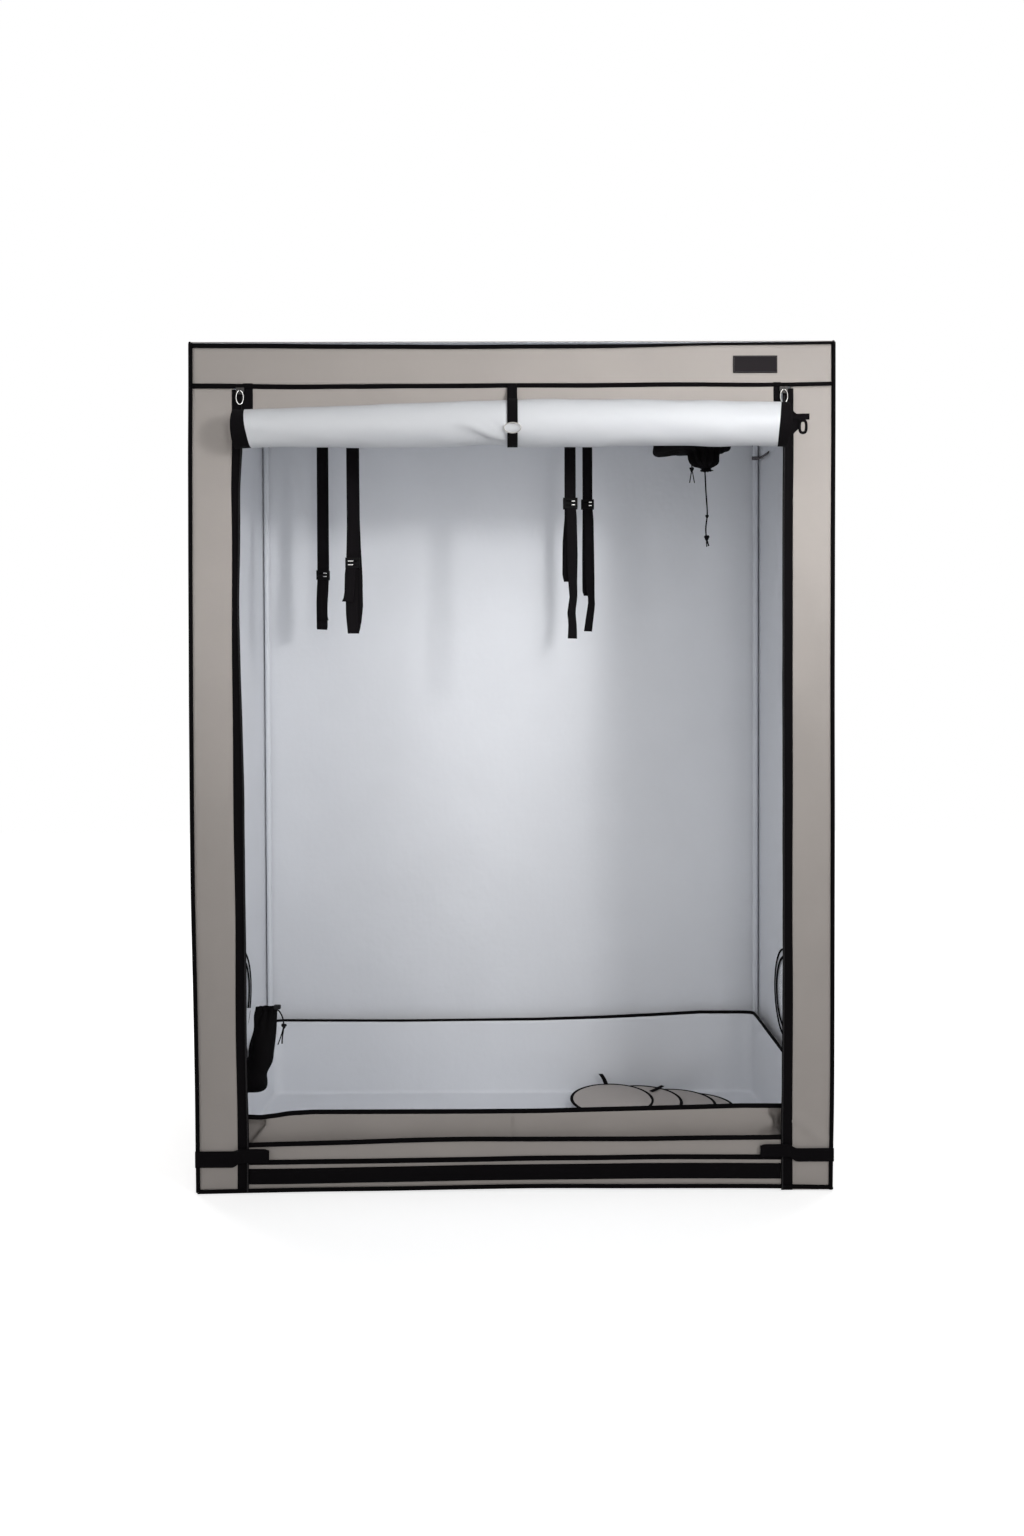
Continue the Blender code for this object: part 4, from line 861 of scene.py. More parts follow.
traySetup = {
    "halfWide": 0.7245, "halfDeep": 0.3745, "corner": 0.03, "cove": 0.008, "floor": 0.003, "rimTall": 0.0112,
    "rimDeep": 0.0046, "thickness": 0.0012, "flat": (1.86, 1.18), "seamWide": 0.0028, "seamThick": 0.0016,
    "bow": 0.0016, "ridge": 0.0014,
    # The floor's rings as shares of the outline
    "floorRings": (0.02, 0.15, 0.3, 0.45, 0.6, 0.74, 0.85, 0.93, 0.98),
    # The rim's heights at places across or deep
    "front": (
        (-0.72, -0.636, -0.606, -0.568, -0.536, -0.483, -0.1, 0.06, 0.252, 0.443, 0.54, 0.72),
        (0.175, 0.175, 0.1733, 0.1779, 0.183, 0.1858, 0.1852, 0.1858, 0.1897, 0.1936, 0.196, 0.195),
    ),
    "back": (
        (-0.72, -0.342, 0.082, 0.264, 0.415, 0.567, 0.704, 0.72),
        (0.2283, 0.2257, 0.2286, 0.2336, 0.2399, 0.2478, 0.247, 0.248),
    ),
    "left": ((-0.37, 0.37), (0.176, 0.23)),
    "right": ((-0.37, -0.02, 0.129, 0.313, 0.37), (0.196, 0.2324, 0.2402, 0.2496, 0.25)),
    # Folds in the front: start and end places, across and high, then how deep the far side falls back and its way
    "folds": (
        ((-0.579, 0.172), (-0.628, 0.118), 0.021, 1), ((0.582, 0.196), (0.65, 0.13), 0.017, -1),
        ((0.574, 0.129), (0.65, 0.162), 0.009, 1),
    ),
    # The sewn seam down the right rear corner
    "seam": (
        (0.7165, 0.3722, 0.236), (0.7168, 0.3718, 0.18), (0.7166, 0.3715, 0.132), (0.712, 0.3712, 0.118),
        (0.698, 0.3705, 0.1145),
    ),
}
trayWide, trayDeep, trayCorner = traySetup["halfWide"], traySetup["halfDeep"], traySetup["corner"]


def trayOutline(count):
    # Points round a rectangle with rounded corners, evenly spread, from the middle of the front: each is its
    # corner's centre, plus the corner's radius square to the heading, plus the way gone along a straight side.
    x, y, arc = trayWide - trayCorner, trayDeep - trayCorner, trayCorner * np.pi / 2
    ends = np.cumsum([0, x, arc, 2 * y, arc, 2 * x, arc, 2 * y, arc, x])
    around = np.linspace(0, ends[-1], count, endpoint=False)
    part = np.clip(np.searchsorted(ends, around, side="right") - 1, 0, 8)
    bent, gone = part % 2, around - ends[part]
    heading = part // 2 * np.pi / 2 + bent * gone / trayCorner
    centre = np.array([(0, -y), (x, -y), (x, y), (-x, y), (-x, -y)])[part // 2 + bent]
    gone = gone * (1 - bent)
    outX = trayCorner * np.sin(heading) + gone * np.cos(heading)
    outY = gone * np.sin(heading) - trayCorner * np.cos(heading)
    return centre[:, 0] + outX, centre[:, 1] + outY, around


def trayRim(x, y):
    # Height of the rim: a table for each side, blended where two sides meet.
    frontness, backness = (smoothStep(way * y, trayDeep - 0.035, trayDeep) for way in (-1, 1))
    front, back = (np.interp(x, *traySetup[key]) for key in ("front", "back"))
    side = np.where(x < 0, np.interp(y, *traySetup["left"]), np.interp(y, *traySetup["right"]))
    return front * frontness + back * backness + side * (1 - frontness - backness)


def traySlack(x, y, share):
    # How far the wall leans in: nothing at the floor and rim, most in between, and a step beyond each fold line.
    frontness = smoothStep(-y, trayDeep - 0.03, trayDeep - 0.004)
    z = traySetup["floor"] + (trayRim(x, y) - traySetup["floor"]) * share
    waves = 1 + softWaves(x + y, share * 0.2, 72, 0.5, 0.14)
    slack = traySetup["bow"] * np.sin(np.pi * np.clip(share, 0, 1)) * waves
    for start, end, drop, way in traySetup["folds"]:
        beside, along = besideLine(x, z, start, end)
        off = way * beside
        inLine = smoothStep(along, -0.1, 0.5) * smoothStep(share, 0, 0.1) * smoothStep(1 - share, 0, 0.12)
        step = drop * smoothStep(off, -0.003, 0.022) + traySetup["ridge"] * np.exp(-((off / 0.004) ** 2))
        slack = slack + frontness * inLine * step
    return slack


def trayPiece():
    # Walls from the rim down to a rounded cove, then a flat floor; rows run round the outline.
    count, corner, floorLevel = 460, trayCorner, traySetup["floor"]
    x, y, around = trayOutline(count)
    insideX = np.clip(x, corner - trayWide, trayWide - corner)
    insideY = np.clip(y, corner - trayDeep, trayDeep - corner)
    inward = unit(gather(insideX - x, insideY - y))
    rim = trayRim(x, y)
    share = np.linspace(0, 1, 26) ** 1.6
    xs, shares = np.meshgrid(x, share, indexing="ij")
    ys = np.broadcast_to(y[:, None], xs.shape)
    z = floorLevel + (rim[:, None] - floorLevel) * shares
    bend = traySetup["cove"] * (1 - 0.75 * smoothStep(-ys, trayDeep - 0.06, trayDeep - 0.02))
    coveIn = bend - np.sqrt(np.maximum(bend**2 - np.clip(bend - (z - floorLevel), 0, None) ** 2, 0))
    slack = traySlack(xs, ys, shares) + coveIn
    # Each ring shrinks by the slack round a smaller middle, with rounder corners, so that it never crosses itself.
    rounder = corner + 0.6 * slack
    ringX = insideX[:, None] / (trayWide - corner) * (trayWide - slack - rounder) - inward[:, :1] * rounder
    ringY = insideY[:, None] / (trayDeep - corner) * (trayDeep - slack - rounder) - inward[:, 1:] * rounder
    wall = gather(ringX, ringY, z)
    shrink = np.array(traySetup["floorRings"])
    foot = wall[:, :1, :2] * shrink[:, None]
    ground = np.concatenate([foot, np.full((count, len(shrink), 1), floorLevel)], -1)
    points = np.concatenate([ground, wall], 1)
    columns = points.shape[1]
    uv = gather(around[:, None], np.concatenate([(shrink - 1) * 0.37, share * 0.2]))
    look = {"uv": uv, "slot": "liner_cloth", "thickness": traySetup["thickness"], "node": "tray"}
    faces = [gridFaces(count, columns, True, False), (np.arange(count) * columns)[None, ::-1]]
    piece = newPiece("trayCloth", points, faces, [beigeCloth, whiteCloth], **look)
    thin = np.interp(x, (-0.2, 0.35), (0.34, 0.14)) * smoothStep(y, trayDeep - 0.05, trayDeep - 0.01)
    rimLine = wall[:, -1] - (0, 0, 0.001)
    rimPiece = boundEdge("trayRim", rimLine, traySetup["rimDeep"], traySetup["rimTall"] * (1 - thin))
    look, path = {"sides": 6, "up": (0, 1, 0), "slot": "liner_cloth"}, pathThrough(traySetup["seam"], 40)
    seamPiece = tubePiece("traySeam", path, traySetup["seamWide"], traySetup["seamThick"], whiteCloth, **look)


trayPiece()
print("tray made")


def circlePath(centre, uAxis, vAxis, radius, count=96):
    # The centre plus the radius times the turn's cosine on one axis and its sine on the other.
    turn = fullTurn(count)[:, None]
    return np.asarray(centre, float) + radius * (np.cos(turn) * axisOf[uAxis] + np.sin(turn) * axisOf[vAxis])


coverSetup = {
    "radius": 0.1215, "dome": 0.006, "cloth": 0.0014, "wave": 0.0008, "level": 0.0035,
    "rimWide": 0.0098, "rimTall": 0.0034, "tabWide": 0.0125,
    # How far each cover's near and far edges stand above its level, and its sideways move
    "lean": {
        1: (-0.016, 0.0025, 0.0), 2: (-0.011, 0.007, 0.0005), 3: (-0.0045, 0.0054, 0.011), 4: (0.0, 0.0026, 0.017),
    },
    # Each tab's width axis and its path as offsets from the cover's middle at its rim's level
    "tabs": {
        1: (
            (1, 0, 0),
            ((-0.0085, 0.108, 0.004), (-0.0095, 0.118, 0.007), (-0.0145, 0.119, 0.018), (-0.0235, 0.117, 0.032)),
        ),
        2: (
            (-0.65, 0.76, 0),
            ((0.037, 0.056, 0.0066), (0.05, 0.071, 0.006), (0.064, 0.088, 0.0052), (0.078, 0.106, 0.0046)),
        ),
    },
}


def coverPiece(number):
    # A disc that domes by the square of the distance from its rim, with soft waves, and a flat bound rim.
    low, high = nodeBox(f"port_cover_{number}")
    radius = coverSetup["radius"]
    near, far, move = coverSetup["lean"][number]
    middle = (low + high) / 2 + (move, 0, 0)
    level = low[2] + coverSetup["level"]
    reach = (radius - 0.002) * np.array([0.02, 0.2, 0.4, 0.6, 0.75, 0.86, 0.93, 0.97, 1.0])
    turns, reaches = np.meshgrid(fullTurn(96), reach, indexing="ij")
    x, y, out = reaches * np.cos(turns), reaches * np.sin(turns), reaches / reach[-1]
    dome = coverSetup["dome"] * (1 - out**2)
    wave = coverSetup["wave"] * softWaves(x, y, 80 + number, 0.2, 0.08) * (1 - out**4)

    def leaned(places):
        # Each place raised by the lean from the cover's near edge to its far edge.
        share = (places[..., 1] - middle[1]) / radius / 2 + 0.5
        return np.concatenate([places[..., :2], places[..., 2:] + (near + (far - near) * share)[..., None]], -1)

    points = leaned(gather(middle[0] + x, middle[1] + y, level + dome + wave))
    columns, body = len(reach), f"port_cover_{number}_body"
    faces = [gridFaces(96, columns, True, False)[:, ::-1], (np.arange(96) * columns)[None]]
    look = {"slot": "cover_cloth", "body": body, "thickness": coverSetup["cloth"], "node": f"port_cover_{number}"}
    disc = newPiece(f"portCover_{number}", points, faces, [beigeCloth, whiteCloth], gather(x, y), **look)
    rimLine = leaned(circlePath((middle[0], middle[1], level + 0.0004), "x", "y", reach[-1] - 0.0028))
    extras = [boundEdge(f"coverRim_{number}", rimLine, coverSetup["rimWide"], coverSetup["rimTall"], body=body)]
    if number in coverSetup["tabs"]:
        side, places = coverSetup["tabs"][number]
        path = leaned(pathThrough(np.array(places) + (middle[0], middle[1], level), 16))
        wide, thickness = coverSetup["tabWide"], coverSetup["cloth"]
        tab, _ = ribbonPiece(f"coverTab_{number}", path, wide, side, webbingCloth, thickness, body, 4)
        extras.append(tab)


for number in (1, 2, 3, 4):
    coverPiece(number)
print("port covers made")

ventSetup = {
    "wall": 0.7492, "depth": 0.045, "height": 0.373, "radius": 0.105, "thread": 0.0009, "pitch": 0.0024,
    "netThick": 0.0003,
    # Each bound ring: its radius, how far it stands out of the wall, its width
    "rings": {
        "ventRingInner": (0.0975, -0.0034, 0.0075), "ventRingOuter": (0.12, -0.0034, 0.0052),
        "ventRingOutside": (0.1055, 0.003, 0.02),
    },
    "ringThick": 0.0036,
}


def ventPieces(side, word):
    # Bound rings round the hole, and a net of flat threads: parallel strips both ways, each cut to the
    # circle's width at its place.
    wallX, y, z, radius = side * ventSetup["wall"], ventSetup["depth"], ventSetup["height"], ventSetup["radius"]
    for name, (ringRadius, out, wide) in ventSetup["rings"].items():
        path = circlePath((wallX + side * out, y, z), "y", "z", ringRadius)
        boundEdge(f"{name}_{word}", path, wide, ventSetup["ringThick"], (1, 0, 0), 8)
    at = np.arange(-radius + ventSetup["pitch"], radius, ventSetup["pitch"])
    reach = np.sqrt(radius**2 - at**2)
    signs = np.array([(-1, -1), (1, -1), (1, 1), (-1, 1)], float)
    first = gather(at[:, None] + ventSetup["thread"] / 2 * signs[:, 0], reach[:, None] * signs[:, 1])
    flatPoints = np.concatenate([first, first[:, :, ::-1]]).reshape(-1, 2)
    depth = np.repeat([0.0004, 0.0006], len(first) * 4)
    points = gather(wallX + side * depth, y + flatPoints[:, 0], z + flatPoints[:, 1])
    faces = np.arange(len(points)).reshape(-1, 4)
    turned = np.repeat([side > 0, side < 0], len(first))
    faces = np.where(turned[:, None], faces, faces[:, ::-1])
    look = {"slot": "liner_cloth", "flat": True, "thickness": ventSetup["netThick"]}
    net = newPiece(f"ventNet_{word}", points, [faces], netThread, flatPoints, **look)


for side, word in ((-1, "left"), (1, "right")):
    ventPieces(side, word)

flapSetup = {
    "front": -0.09, "back": 0.272, "low": 0.205, "top": 0.3496, "slope": 0.228, "wall": -0.7446, "wave": 0.001,
    "thickness": 0.001, "flat": (0.362, 0.124),
}


def ventFlapPiece():
    # The left vent's inside flap: a sheet on the wall whose top edge slopes down to the back, with soft waves.
    depths = np.linspace(flapSetup["front"], flapSetup["back"], 40)
    y, share = np.meshgrid(depths, np.linspace(0, 1, 24), indexing="ij")
    z = flapSetup["low"] + (flapSetup["top"] - flapSetup["slope"] * y - flapSetup["low"]) * share
    x = flapSetup["wall"] + flapSetup["wave"] * softWaves(y, z, 95, 0.2, 0.08) + 0.0012 * smoothStep(share, 0.9, 1)
    look = {"slot": "liner_cloth", "thickness": flapSetup["thickness"]}
    flap = newPiece("ventFlapCloth", gather(x, y, z), [gridFaces(*y.shape)], whiteCloth, gather(y, z), **look)


# The tie's loose end lies along a soft shadow line on the side wall, so it is painted shadow.
poleTie = {
    "band": (0.7373, 0.3873, 1.92), "radius": 0.0094, "slope": 0.002, "bandThick": 0.0024, "bandTall": 0.011,
    "end": ((0.735, 0.377, 1.919), (0.739, 0.356, 1.913), (0.7425, 0.305, 1.906), (0.744, 0.24, 1.901)),
    "endWide": 0.008, "endThick": 0.0014, "flatWide": 0.012,
}


def poleTiePieces():
    # A band round the back right pole with a loose end that reaches along the side wall. The loose end is painted
    # shadow: a grey strip laid where a faint soft shadow line runs on the wall, and both parts are grey rather than
    # black to match that faint shade.
    band = circlePath(poleTie["band"], "x", "y", poleTie["radius"], 40)
    band[:, 2] += poleTie["slope"] * np.sin(fullTurn(40))
    look = {"sides": 8, "closed": True, "square": 0.7, "slot": "webbing"}
    ring = tubePiece("poleTieBand", band, poleTie["bandThick"], poleTie["bandTall"], greyTieAndShadowWebbing, **look)
    path, wide, thick = pathThrough(poleTie["end"], 24), poleTie["endWide"], poleTie["endThick"]
    tie, length = ribbonPiece("poleTie", path, wide, (0.3, 0, 0.95), greyTieAndShadowWebbing, thick, columns=4)


ventFlapPiece()
poleTiePieces()
# Each port's ring: its middle and radius, then its width and thickness
portRings = {"cable": ((-0.7522, -0.29, 0.248), 0.036, 0.008, 0.003), "roof": ((0.484, 0, 2.001), 0.101, 0.01, 0.0032)}
centre, radius, wide, thick = portRings["cable"]
cableRing = boundEdge("cablePortRing", circlePath(centre, "y", "z", radius, 64), wide, thick, (1, 0, 0), 8)
centre, radius, wide, thick = portRings["roof"]
roofRing = boundEdge("roofPortRing", circlePath(centre, "x", "y", radius), wide, thick, sides=8)
print("vents made")

# Rows: radius, height, shift towards the bunch, fold depth. cloth is the radius and length of the sleeve's
# straight part, and how many times its radius squared the bunched end takes.
roofSleeve = {
    "across": 0.484, "folds": 11, "thickness": 0.0009, "tie": 0.003, "cloth": (0.1, 0.17, 1.25),
    "flat": (0.63, 0.27),
    "rows": (
        (0.1005, 1.9978, 0.0, 0.0), (0.1005, 1.95, 0.0, 0.001), (0.1008, 1.905, 0.0, 0.002),
        (0.101, 1.874, 0.0, 0.003), (0.1005, 1.857, 0.0, 0.003), (0.095, 1.8522, 0.002, 0.0035),
        (0.07, 1.85, 0.012, 0.005), (0.048, 1.847, 0.024, 0.006), (0.04, 1.839, 0.03, 0.0065),
        (0.0375, 1.828, 0.0315, 0.006), (0.036, 1.818, 0.032, 0.006), (0.03, 1.809, 0.034, 0.006),
        (0.019, 1.803, 0.037, 0.004), (0.011, 1.7985, 0.038, 0.002), (0.0085, 1.796, 0.0385, 0.0015),
        (0.012, 1.793, 0.039, 0.0035), (0.013, 1.7915, 0.039, 0.0045),
    ),
}


def roofSleevePiece():
    # A sleeve of cloth by height and angle: the radius, shift and fold depth run smoothly through the rows,
    # the folds are a cosine of the angle times their number, and the right side's lower edge is lifted.
    fine = pathThrough(roofSleeve["rows"], 90)
    turns, radius = np.meshgrid(fullTurn(176), fine[:, 0], indexing="ij")
    z, shift, depth = fine[:, 1], fine[:, 2], fine[:, 3]
    across, behind = np.cos(turns), np.sin(turns)
    wander = 0.6 * np.sin(turns * 2 + 1.3) + 0.5 * np.sin(turns * 3 + z * 20)
    fold = depth * np.cos(roofSleeve["folds"] * turns + wander) + depth * 0.35 * np.cos(7 * turns + 60 * z)
    lowness = smoothStep(1.925 - z, 0, 0.07) * smoothStep(radius, 0.045, 0.095)
    rise = 0.005 * np.clip(behind, 0, 1) - 0.019 * np.clip(-across, 0, 1) ** 3 - 0.006 * np.clip(across, 0, 1) ** 3
    x = roofSleeve["across"] + shift + (radius + fold) * across
    points = gather(x, (radius + fold) * behind, z + lowness * rise + 0.15 * fold * (radius < 0.09))
    uv = gather(turns * 0.1, runLength(fine[:, :2]))
    look = {"uv": uv, "slot": "sleeve_cloth", "thickness": roofSleeve["thickness"], "node": "roof_sleeve"}
    faces = gridFaces(*turns.shape, True, False)[:, ::-1]
    piece = newPiece("roofSleeveCloth", points, [faces], sleeveCloth, **look)
    # The tie goes round the narrowest place below the sleeve's wide part.
    neck = fine[np.argmin(fine[:86, 0] + (fine[:86, 1] > 1.8))]
    thick = roofSleeve["tie"]
    path = circlePath((roofSleeve["across"] + neck[2], 0, neck[1]), "x", "y", neck[0] + thick / 2, 40)
    tie = tubePiece("roofSleeveTie", path, thick, thick, cordBraid, sides=8, closed=True, slot="drawcord")
    radius, length, folded = roofSleeve["cloth"]


roofSleevePiece()

# Rows: middle across, middle height, slant in degrees, half size in the view, half size in depth
cableSleeve = {
    "depth": -0.29, "flatWide": 0.21, "crease": 0.0022, "pleat": 0.003, "thickness": 0.0009,
    "rows": (
        (-0.7482, 0.248, 0, 0.033, 0.033), (-0.72, 0.2465, 0, 0.0345, 0.0335), (-0.69, 0.245, 6, 0.0355, 0.0335),
        (-0.664, 0.244, 20, 0.038, 0.0335), (-0.6405, 0.2495, 42, 0.0468, 0.033),
        (-0.6335, 0.264, 60, 0.0292, 0.0325), (-0.6255, 0.285, 72, 0.0288, 0.0315), (-0.621, 0.305, 76, 0.03, 0.03),
        (-0.616, 0.328, 80, 0.03, 0.0285), (-0.6112, 0.37, 84, 0.027, 0.024), (-0.6085, 0.397, 88, 0.0242, 0.016),
        (-0.6072, 0.408, 88, 0.0225, 0.0105), (-0.6065, 0.418, 88, 0.0218, 0.012),
    ),
}


def cableSleevePiece():
    # Rings of cloth carried along the rows' middle line, each an oval that slants with the line, creased by waves.
    x, z, slant, wide, deep = pathThrough(np.array(cableSleeve["rows"]) * (1, 1, 0.001, 1, 1), 90).T
    slant = np.radians(slant * 1000)
    turns, down = np.meshgrid(fullTurn(96), np.linspace(0, 1, 90), indexing="ij")
    crease = softWaves(turns * 0.06, down * 0.3, 91, 0.16, 0.05) * smoothStep(down, 0.02, 0.25)
    pleat = np.cos(9 * turns + 0.8 * np.sin(2 * turns)) * smoothStep(down, 0.75, 0.95)
    fold = cableSleeve["crease"] * crease + cableSleeve["pleat"] * pleat
    out = (wide + fold) * np.cos(turns)
    y = cableSleeve["depth"] + (deep + fold) * np.sin(turns)
    points = gather(x - out * np.sin(slant), y, z + out * np.cos(slant))
    length = runLength(gather(x, z))
    look = {"slot": "sleeve_cloth", "thickness": cableSleeve["thickness"], "node": "cable_sleeve"}
    faces, uv = gridFaces(96, 90, True, False)[:, ::-1], gather(turns * 0.033, length)
    piece = newPiece("cableSleeveCloth", points, [faces], sleeveCloth, uv, **look)


cableSleevePiece()
print("sleeves made")

# Each cord's route, and its knots (places and size) and loose tail (route and thickness)
cords = {
    "roofLong": {
        "node": "roof_cord_long", "diameter": 0.004, "length": 0.203,
        "route": (
            (0.519, 0.0, 1.7918), (0.5205, 0.0, 1.756), (0.5232, 0.0, 1.712), (0.525, 0.001, 1.673),
            (0.5215, 0.001, 1.639), (0.5235, 0.0, 1.611), (0.529, 0.0, 1.5908),
        ),
        "knots": {"knotRoofLong": ((0.5235, -0.001, 1.613), 0.012), "kinkRoofLong": ((0.5243, -0.001, 1.67), 0.008)},
        "tail": ("tailRoofLong", ((0.5235, -0.002, 1.61), (0.5225, -0.003, 1.6), (0.5235, -0.003, 1.588)), 0.003),
    },
    "roofShort": {
        "node": "roof_cord_short", "diameter": 0.003, "length": 0.057,
        "route": ((0.483, 0.0, 1.816), (0.4835, 0.0, 1.7998), (0.4817, 0.0, 1.7841), (0.4776, 0.0, 1.76)),
        "knots": {"knotRoofShort": ((0.4832, -0.001, 1.796), 0.01)},
        "tail": ("tailRoofShort", ((0.4836, -0.001, 1.796), (0.487, -0.002, 1.778), (0.4905, -0.002, 1.759)), 0.0026),
    },
    "cable": {
        "node": "cable_cord", "diameter": 0.0036, "length": 0.096,
        "route": (
            (-0.5858, -0.29, 0.41), (-0.581, -0.291, 0.4105), (-0.5725, -0.293, 0.403), (-0.5664, -0.294, 0.3885),
            (-0.5648, -0.294, 0.368), (-0.568, -0.294, 0.346), (-0.569, -0.294, 0.328),
        ),
        "toggle": ((-0.5885, -0.299, 0.413), (-0.572, -0.287, 0.4235), 0.0022),
        "knots": {"knotCable": ((-0.564, -0.2945, 0.372), 0.0105)},
        "tail": ("tailCable", ((-0.565, -0.295, 0.37), (-0.571, -0.2955, 0.348), (-0.579, -0.295, 0.326)), 0.0026),
    },
}


def knotPiece(name, centre, size):
    # An overhand knot, a closed loop of three lobes: x is the turn's sine plus twice the double turn's sine,
    # z its cosine less twice the double turn's cosine, and y nine tenths of the triple turn's sine.
    turn = fullTurn(60)
    lobes = np.sin(turn) + 2 * np.sin(2 * turn), 0.9 * np.sin(3 * turn), np.cos(turn) - 2 * np.cos(2 * turn)
    path, thick = np.asarray(centre, float) + np.stack(lobes, -1) * size / 6, size * 0.36
    return tubePiece(name, path, thick, thick, cordBraid, 8, True, (0, 1, 0.02), slot="drawcord")


def cordPiece(name, spec):
    # A round braid along its route, with its toggle, knots and tail.
    extras, look = [], {"up": (0, 1, 0), "slot": "drawcord"}
    if "toggle" in spec:
        low, high, bevel = spec["toggle"]
        extras.append(roundedBox("cableToggle", low, high, jointPlastic, bevel, slot="joint_plastic"))
    extras += [knotPiece(knot, centre, size) for knot, (centre, size) in spec["knots"].items()]
    tail, places, thick = spec["tail"]
    extras.append(tubePiece(tail, pathThrough(places, 14), thick, thick, cordBraid, sides=8, **look))
    path, thick = pathThrough(spec["route"], 60), spec["diameter"]
    piece = tubePiece(f"cord_{name}", path, thick, thick, cordBraid, node=spec["node"], **look)


for name, spec in cords.items():
    cordPiece(name, spec)
print("drawcords made")

# Drops are below the bar in metres. Each layer has rows of drop and sideways move, with a turn in degrees and a
# width share where they aren't 0 and 1. The pins' two places are across the buckle from its middle.
hangingStraps = {
    "front_left": {
        "node": "strap_front_left", "bar": -0.2, "buckle": 0.472, "loopEnd": 0.647, "tailEnd": 0.569, "wide": 0.0312,
        "pins": (-0.0115, 0.002),
        "top": ((0.0, 0), (0.38, 0.001), (0.464, -0.001)),
        "back": (
            (0.0, 0), (0.36, 0.0015), (0.43, 0.004), (0.51, 0.008), (0.58, 0.0085), (0.62, 0.0045, 0, 0.97),
            (0.647, 0, 0, 0.9),
        ),
        "front": ((0.472, -0.002), (0.52, -0.0035), (0.6, -0.0025), (0.647, 0, 0, 0.9)),
        "tail": (
            (0.472, -0.003, 0, 0.9), (0.5, -0.006, 6, 0.86), (0.545, -0.0075, 12, 0.84), (0.56, -0.0095, 16, 0.86),
            (0.569, -0.0125, 20, 0.95),
        ),
    },
    "rear_left": {
        "node": "strap_rear_left", "bar": 0.2, "buckle": 0.443, "loopEnd": 0.597, "tailEnd": 0.572, "wide": 0.0325,
        "pins": (0.002, 0.0115), "top": ((0.0, 0, 0, 0.97), (0.3, 0), (0.435, 0)),
        "back": (
            (0.0, 0, 0, 0.97), (0.43, 0), (0.47, -0.0015, 12, 0.96), (0.52, -0.0045, 28, 0.93),
            (0.597, -0.0045, 28, 0.93),
        ),
        "front": ((0.443, 0.0005), (0.48, -0.002, 14, 0.96), (0.52, -0.0048, 28, 0.93), (0.597, -0.0045, 28, 0.93)),
        "tail": (
            (0.443, 0.001, 0, 0.9), (0.48, -0.001, 14, 0.86), (0.53, -0.0025, 30, 0.84), (0.555, -0.001, 26, 0.84),
            (0.572, 0.0025, 20, 0.84),
        ),
    },
    "front_right": {
        "node": "strap_front_right", "bar": -0.2, "buckle": 0.324, "loopEnd": 0.519, "tailEnd": 0.663,
        "wide": 0.0275, "pins": (0.003, 0.0115), "top": ((0.0, 0), (0.316, 0)),
        "back": ((0.0, 0), (0.36, -0.0005), (0.42, -0.0055), (0.5, -0.0062), (0.519, -0.0045, 0, 0.86)),
        "front": ((0.324, 0), (0.4, 0.001), (0.5, -0.004, 0, 0.95), (0.519, -0.0045, 0, 0.86)),
        "tail": (
            (0.324, 0.001, 0, 0.9), (0.36, 0.003, 0, 0.96), (0.45, 0.0045, 0, 0.98), (0.52, 0.0052, 18, 0.86),
            (0.56, 0.0068, 34, 0.86), (0.587, 0.003, 38, 0.92), (0.6, 0.0018, 36, 0.94), (0.63, 0.0045, 28, 0.86),
            (0.663, 0.0042, 18, 0.9),
        ),
    },
    "rear_right": {
        "node": "strap_rear_right", "bar": 0.2, "buckle": 0.244, "loopEnd": 0.503, "tailEnd": 0.606, "wide": 0.0278,
        "pins": (0.003, 0.0115), "top": ((0.0, 0), (0.236, 0)),
        "back": ((0.0, 0), (0.28, 0), (0.4, -0.0012), (0.49, -0.0008), (0.503, 0.001, 0, 0.85)),
        "front": ((0.244, 0), (0.3, 0.001), (0.49, 0.001), (0.503, 0.001, 0, 0.85)),
        "tail": (
            (0.244, 0.001, 0, 0.9), (0.29, 0.0036, 0, 0.96), (0.44, 0.0056, 0, 0.98), (0.48, 0.007, 16, 0.92),
            (0.511, 0.0095, 34, 0.84), (0.528, 0.01, 36, 0.9), (0.543, 0.0082, 34, 0.92), (0.575, 0.004, 24, 0.88),
            (0.606, 0, 18, 0.88),
        ),
    },
}
# Half the space between the two layers, the space to the tail, the bend's radius over the bar, the bar's height,
# how far below it the layers hang straight, then the pins
strapShape = {
    "thick": 0.0013, "layer": 0.003, "tailSpace": 0.0045, "overBar": 0.00905, "barHeight": 1.9873, "straighten": 0.06,
    "pinHeight": 0.0046, "pinOut": 0.0006, "pinThick": 0.0034,
}


def line(start, end, count):
    # Places evenly spread from start to end, without the end.
    return np.linspace(start, end, count)[:-1]


def arc(centre, radius, start, end, count):
    # The centre plus the radius times the cosine and sine of angles from start to end, in degrees, without the end.
    angle = np.radians(np.linspace(start, end, count))
    return gather(centre[0] + radius * np.cos(angle), centre[1] + radius * np.sin(angle))[:-1]


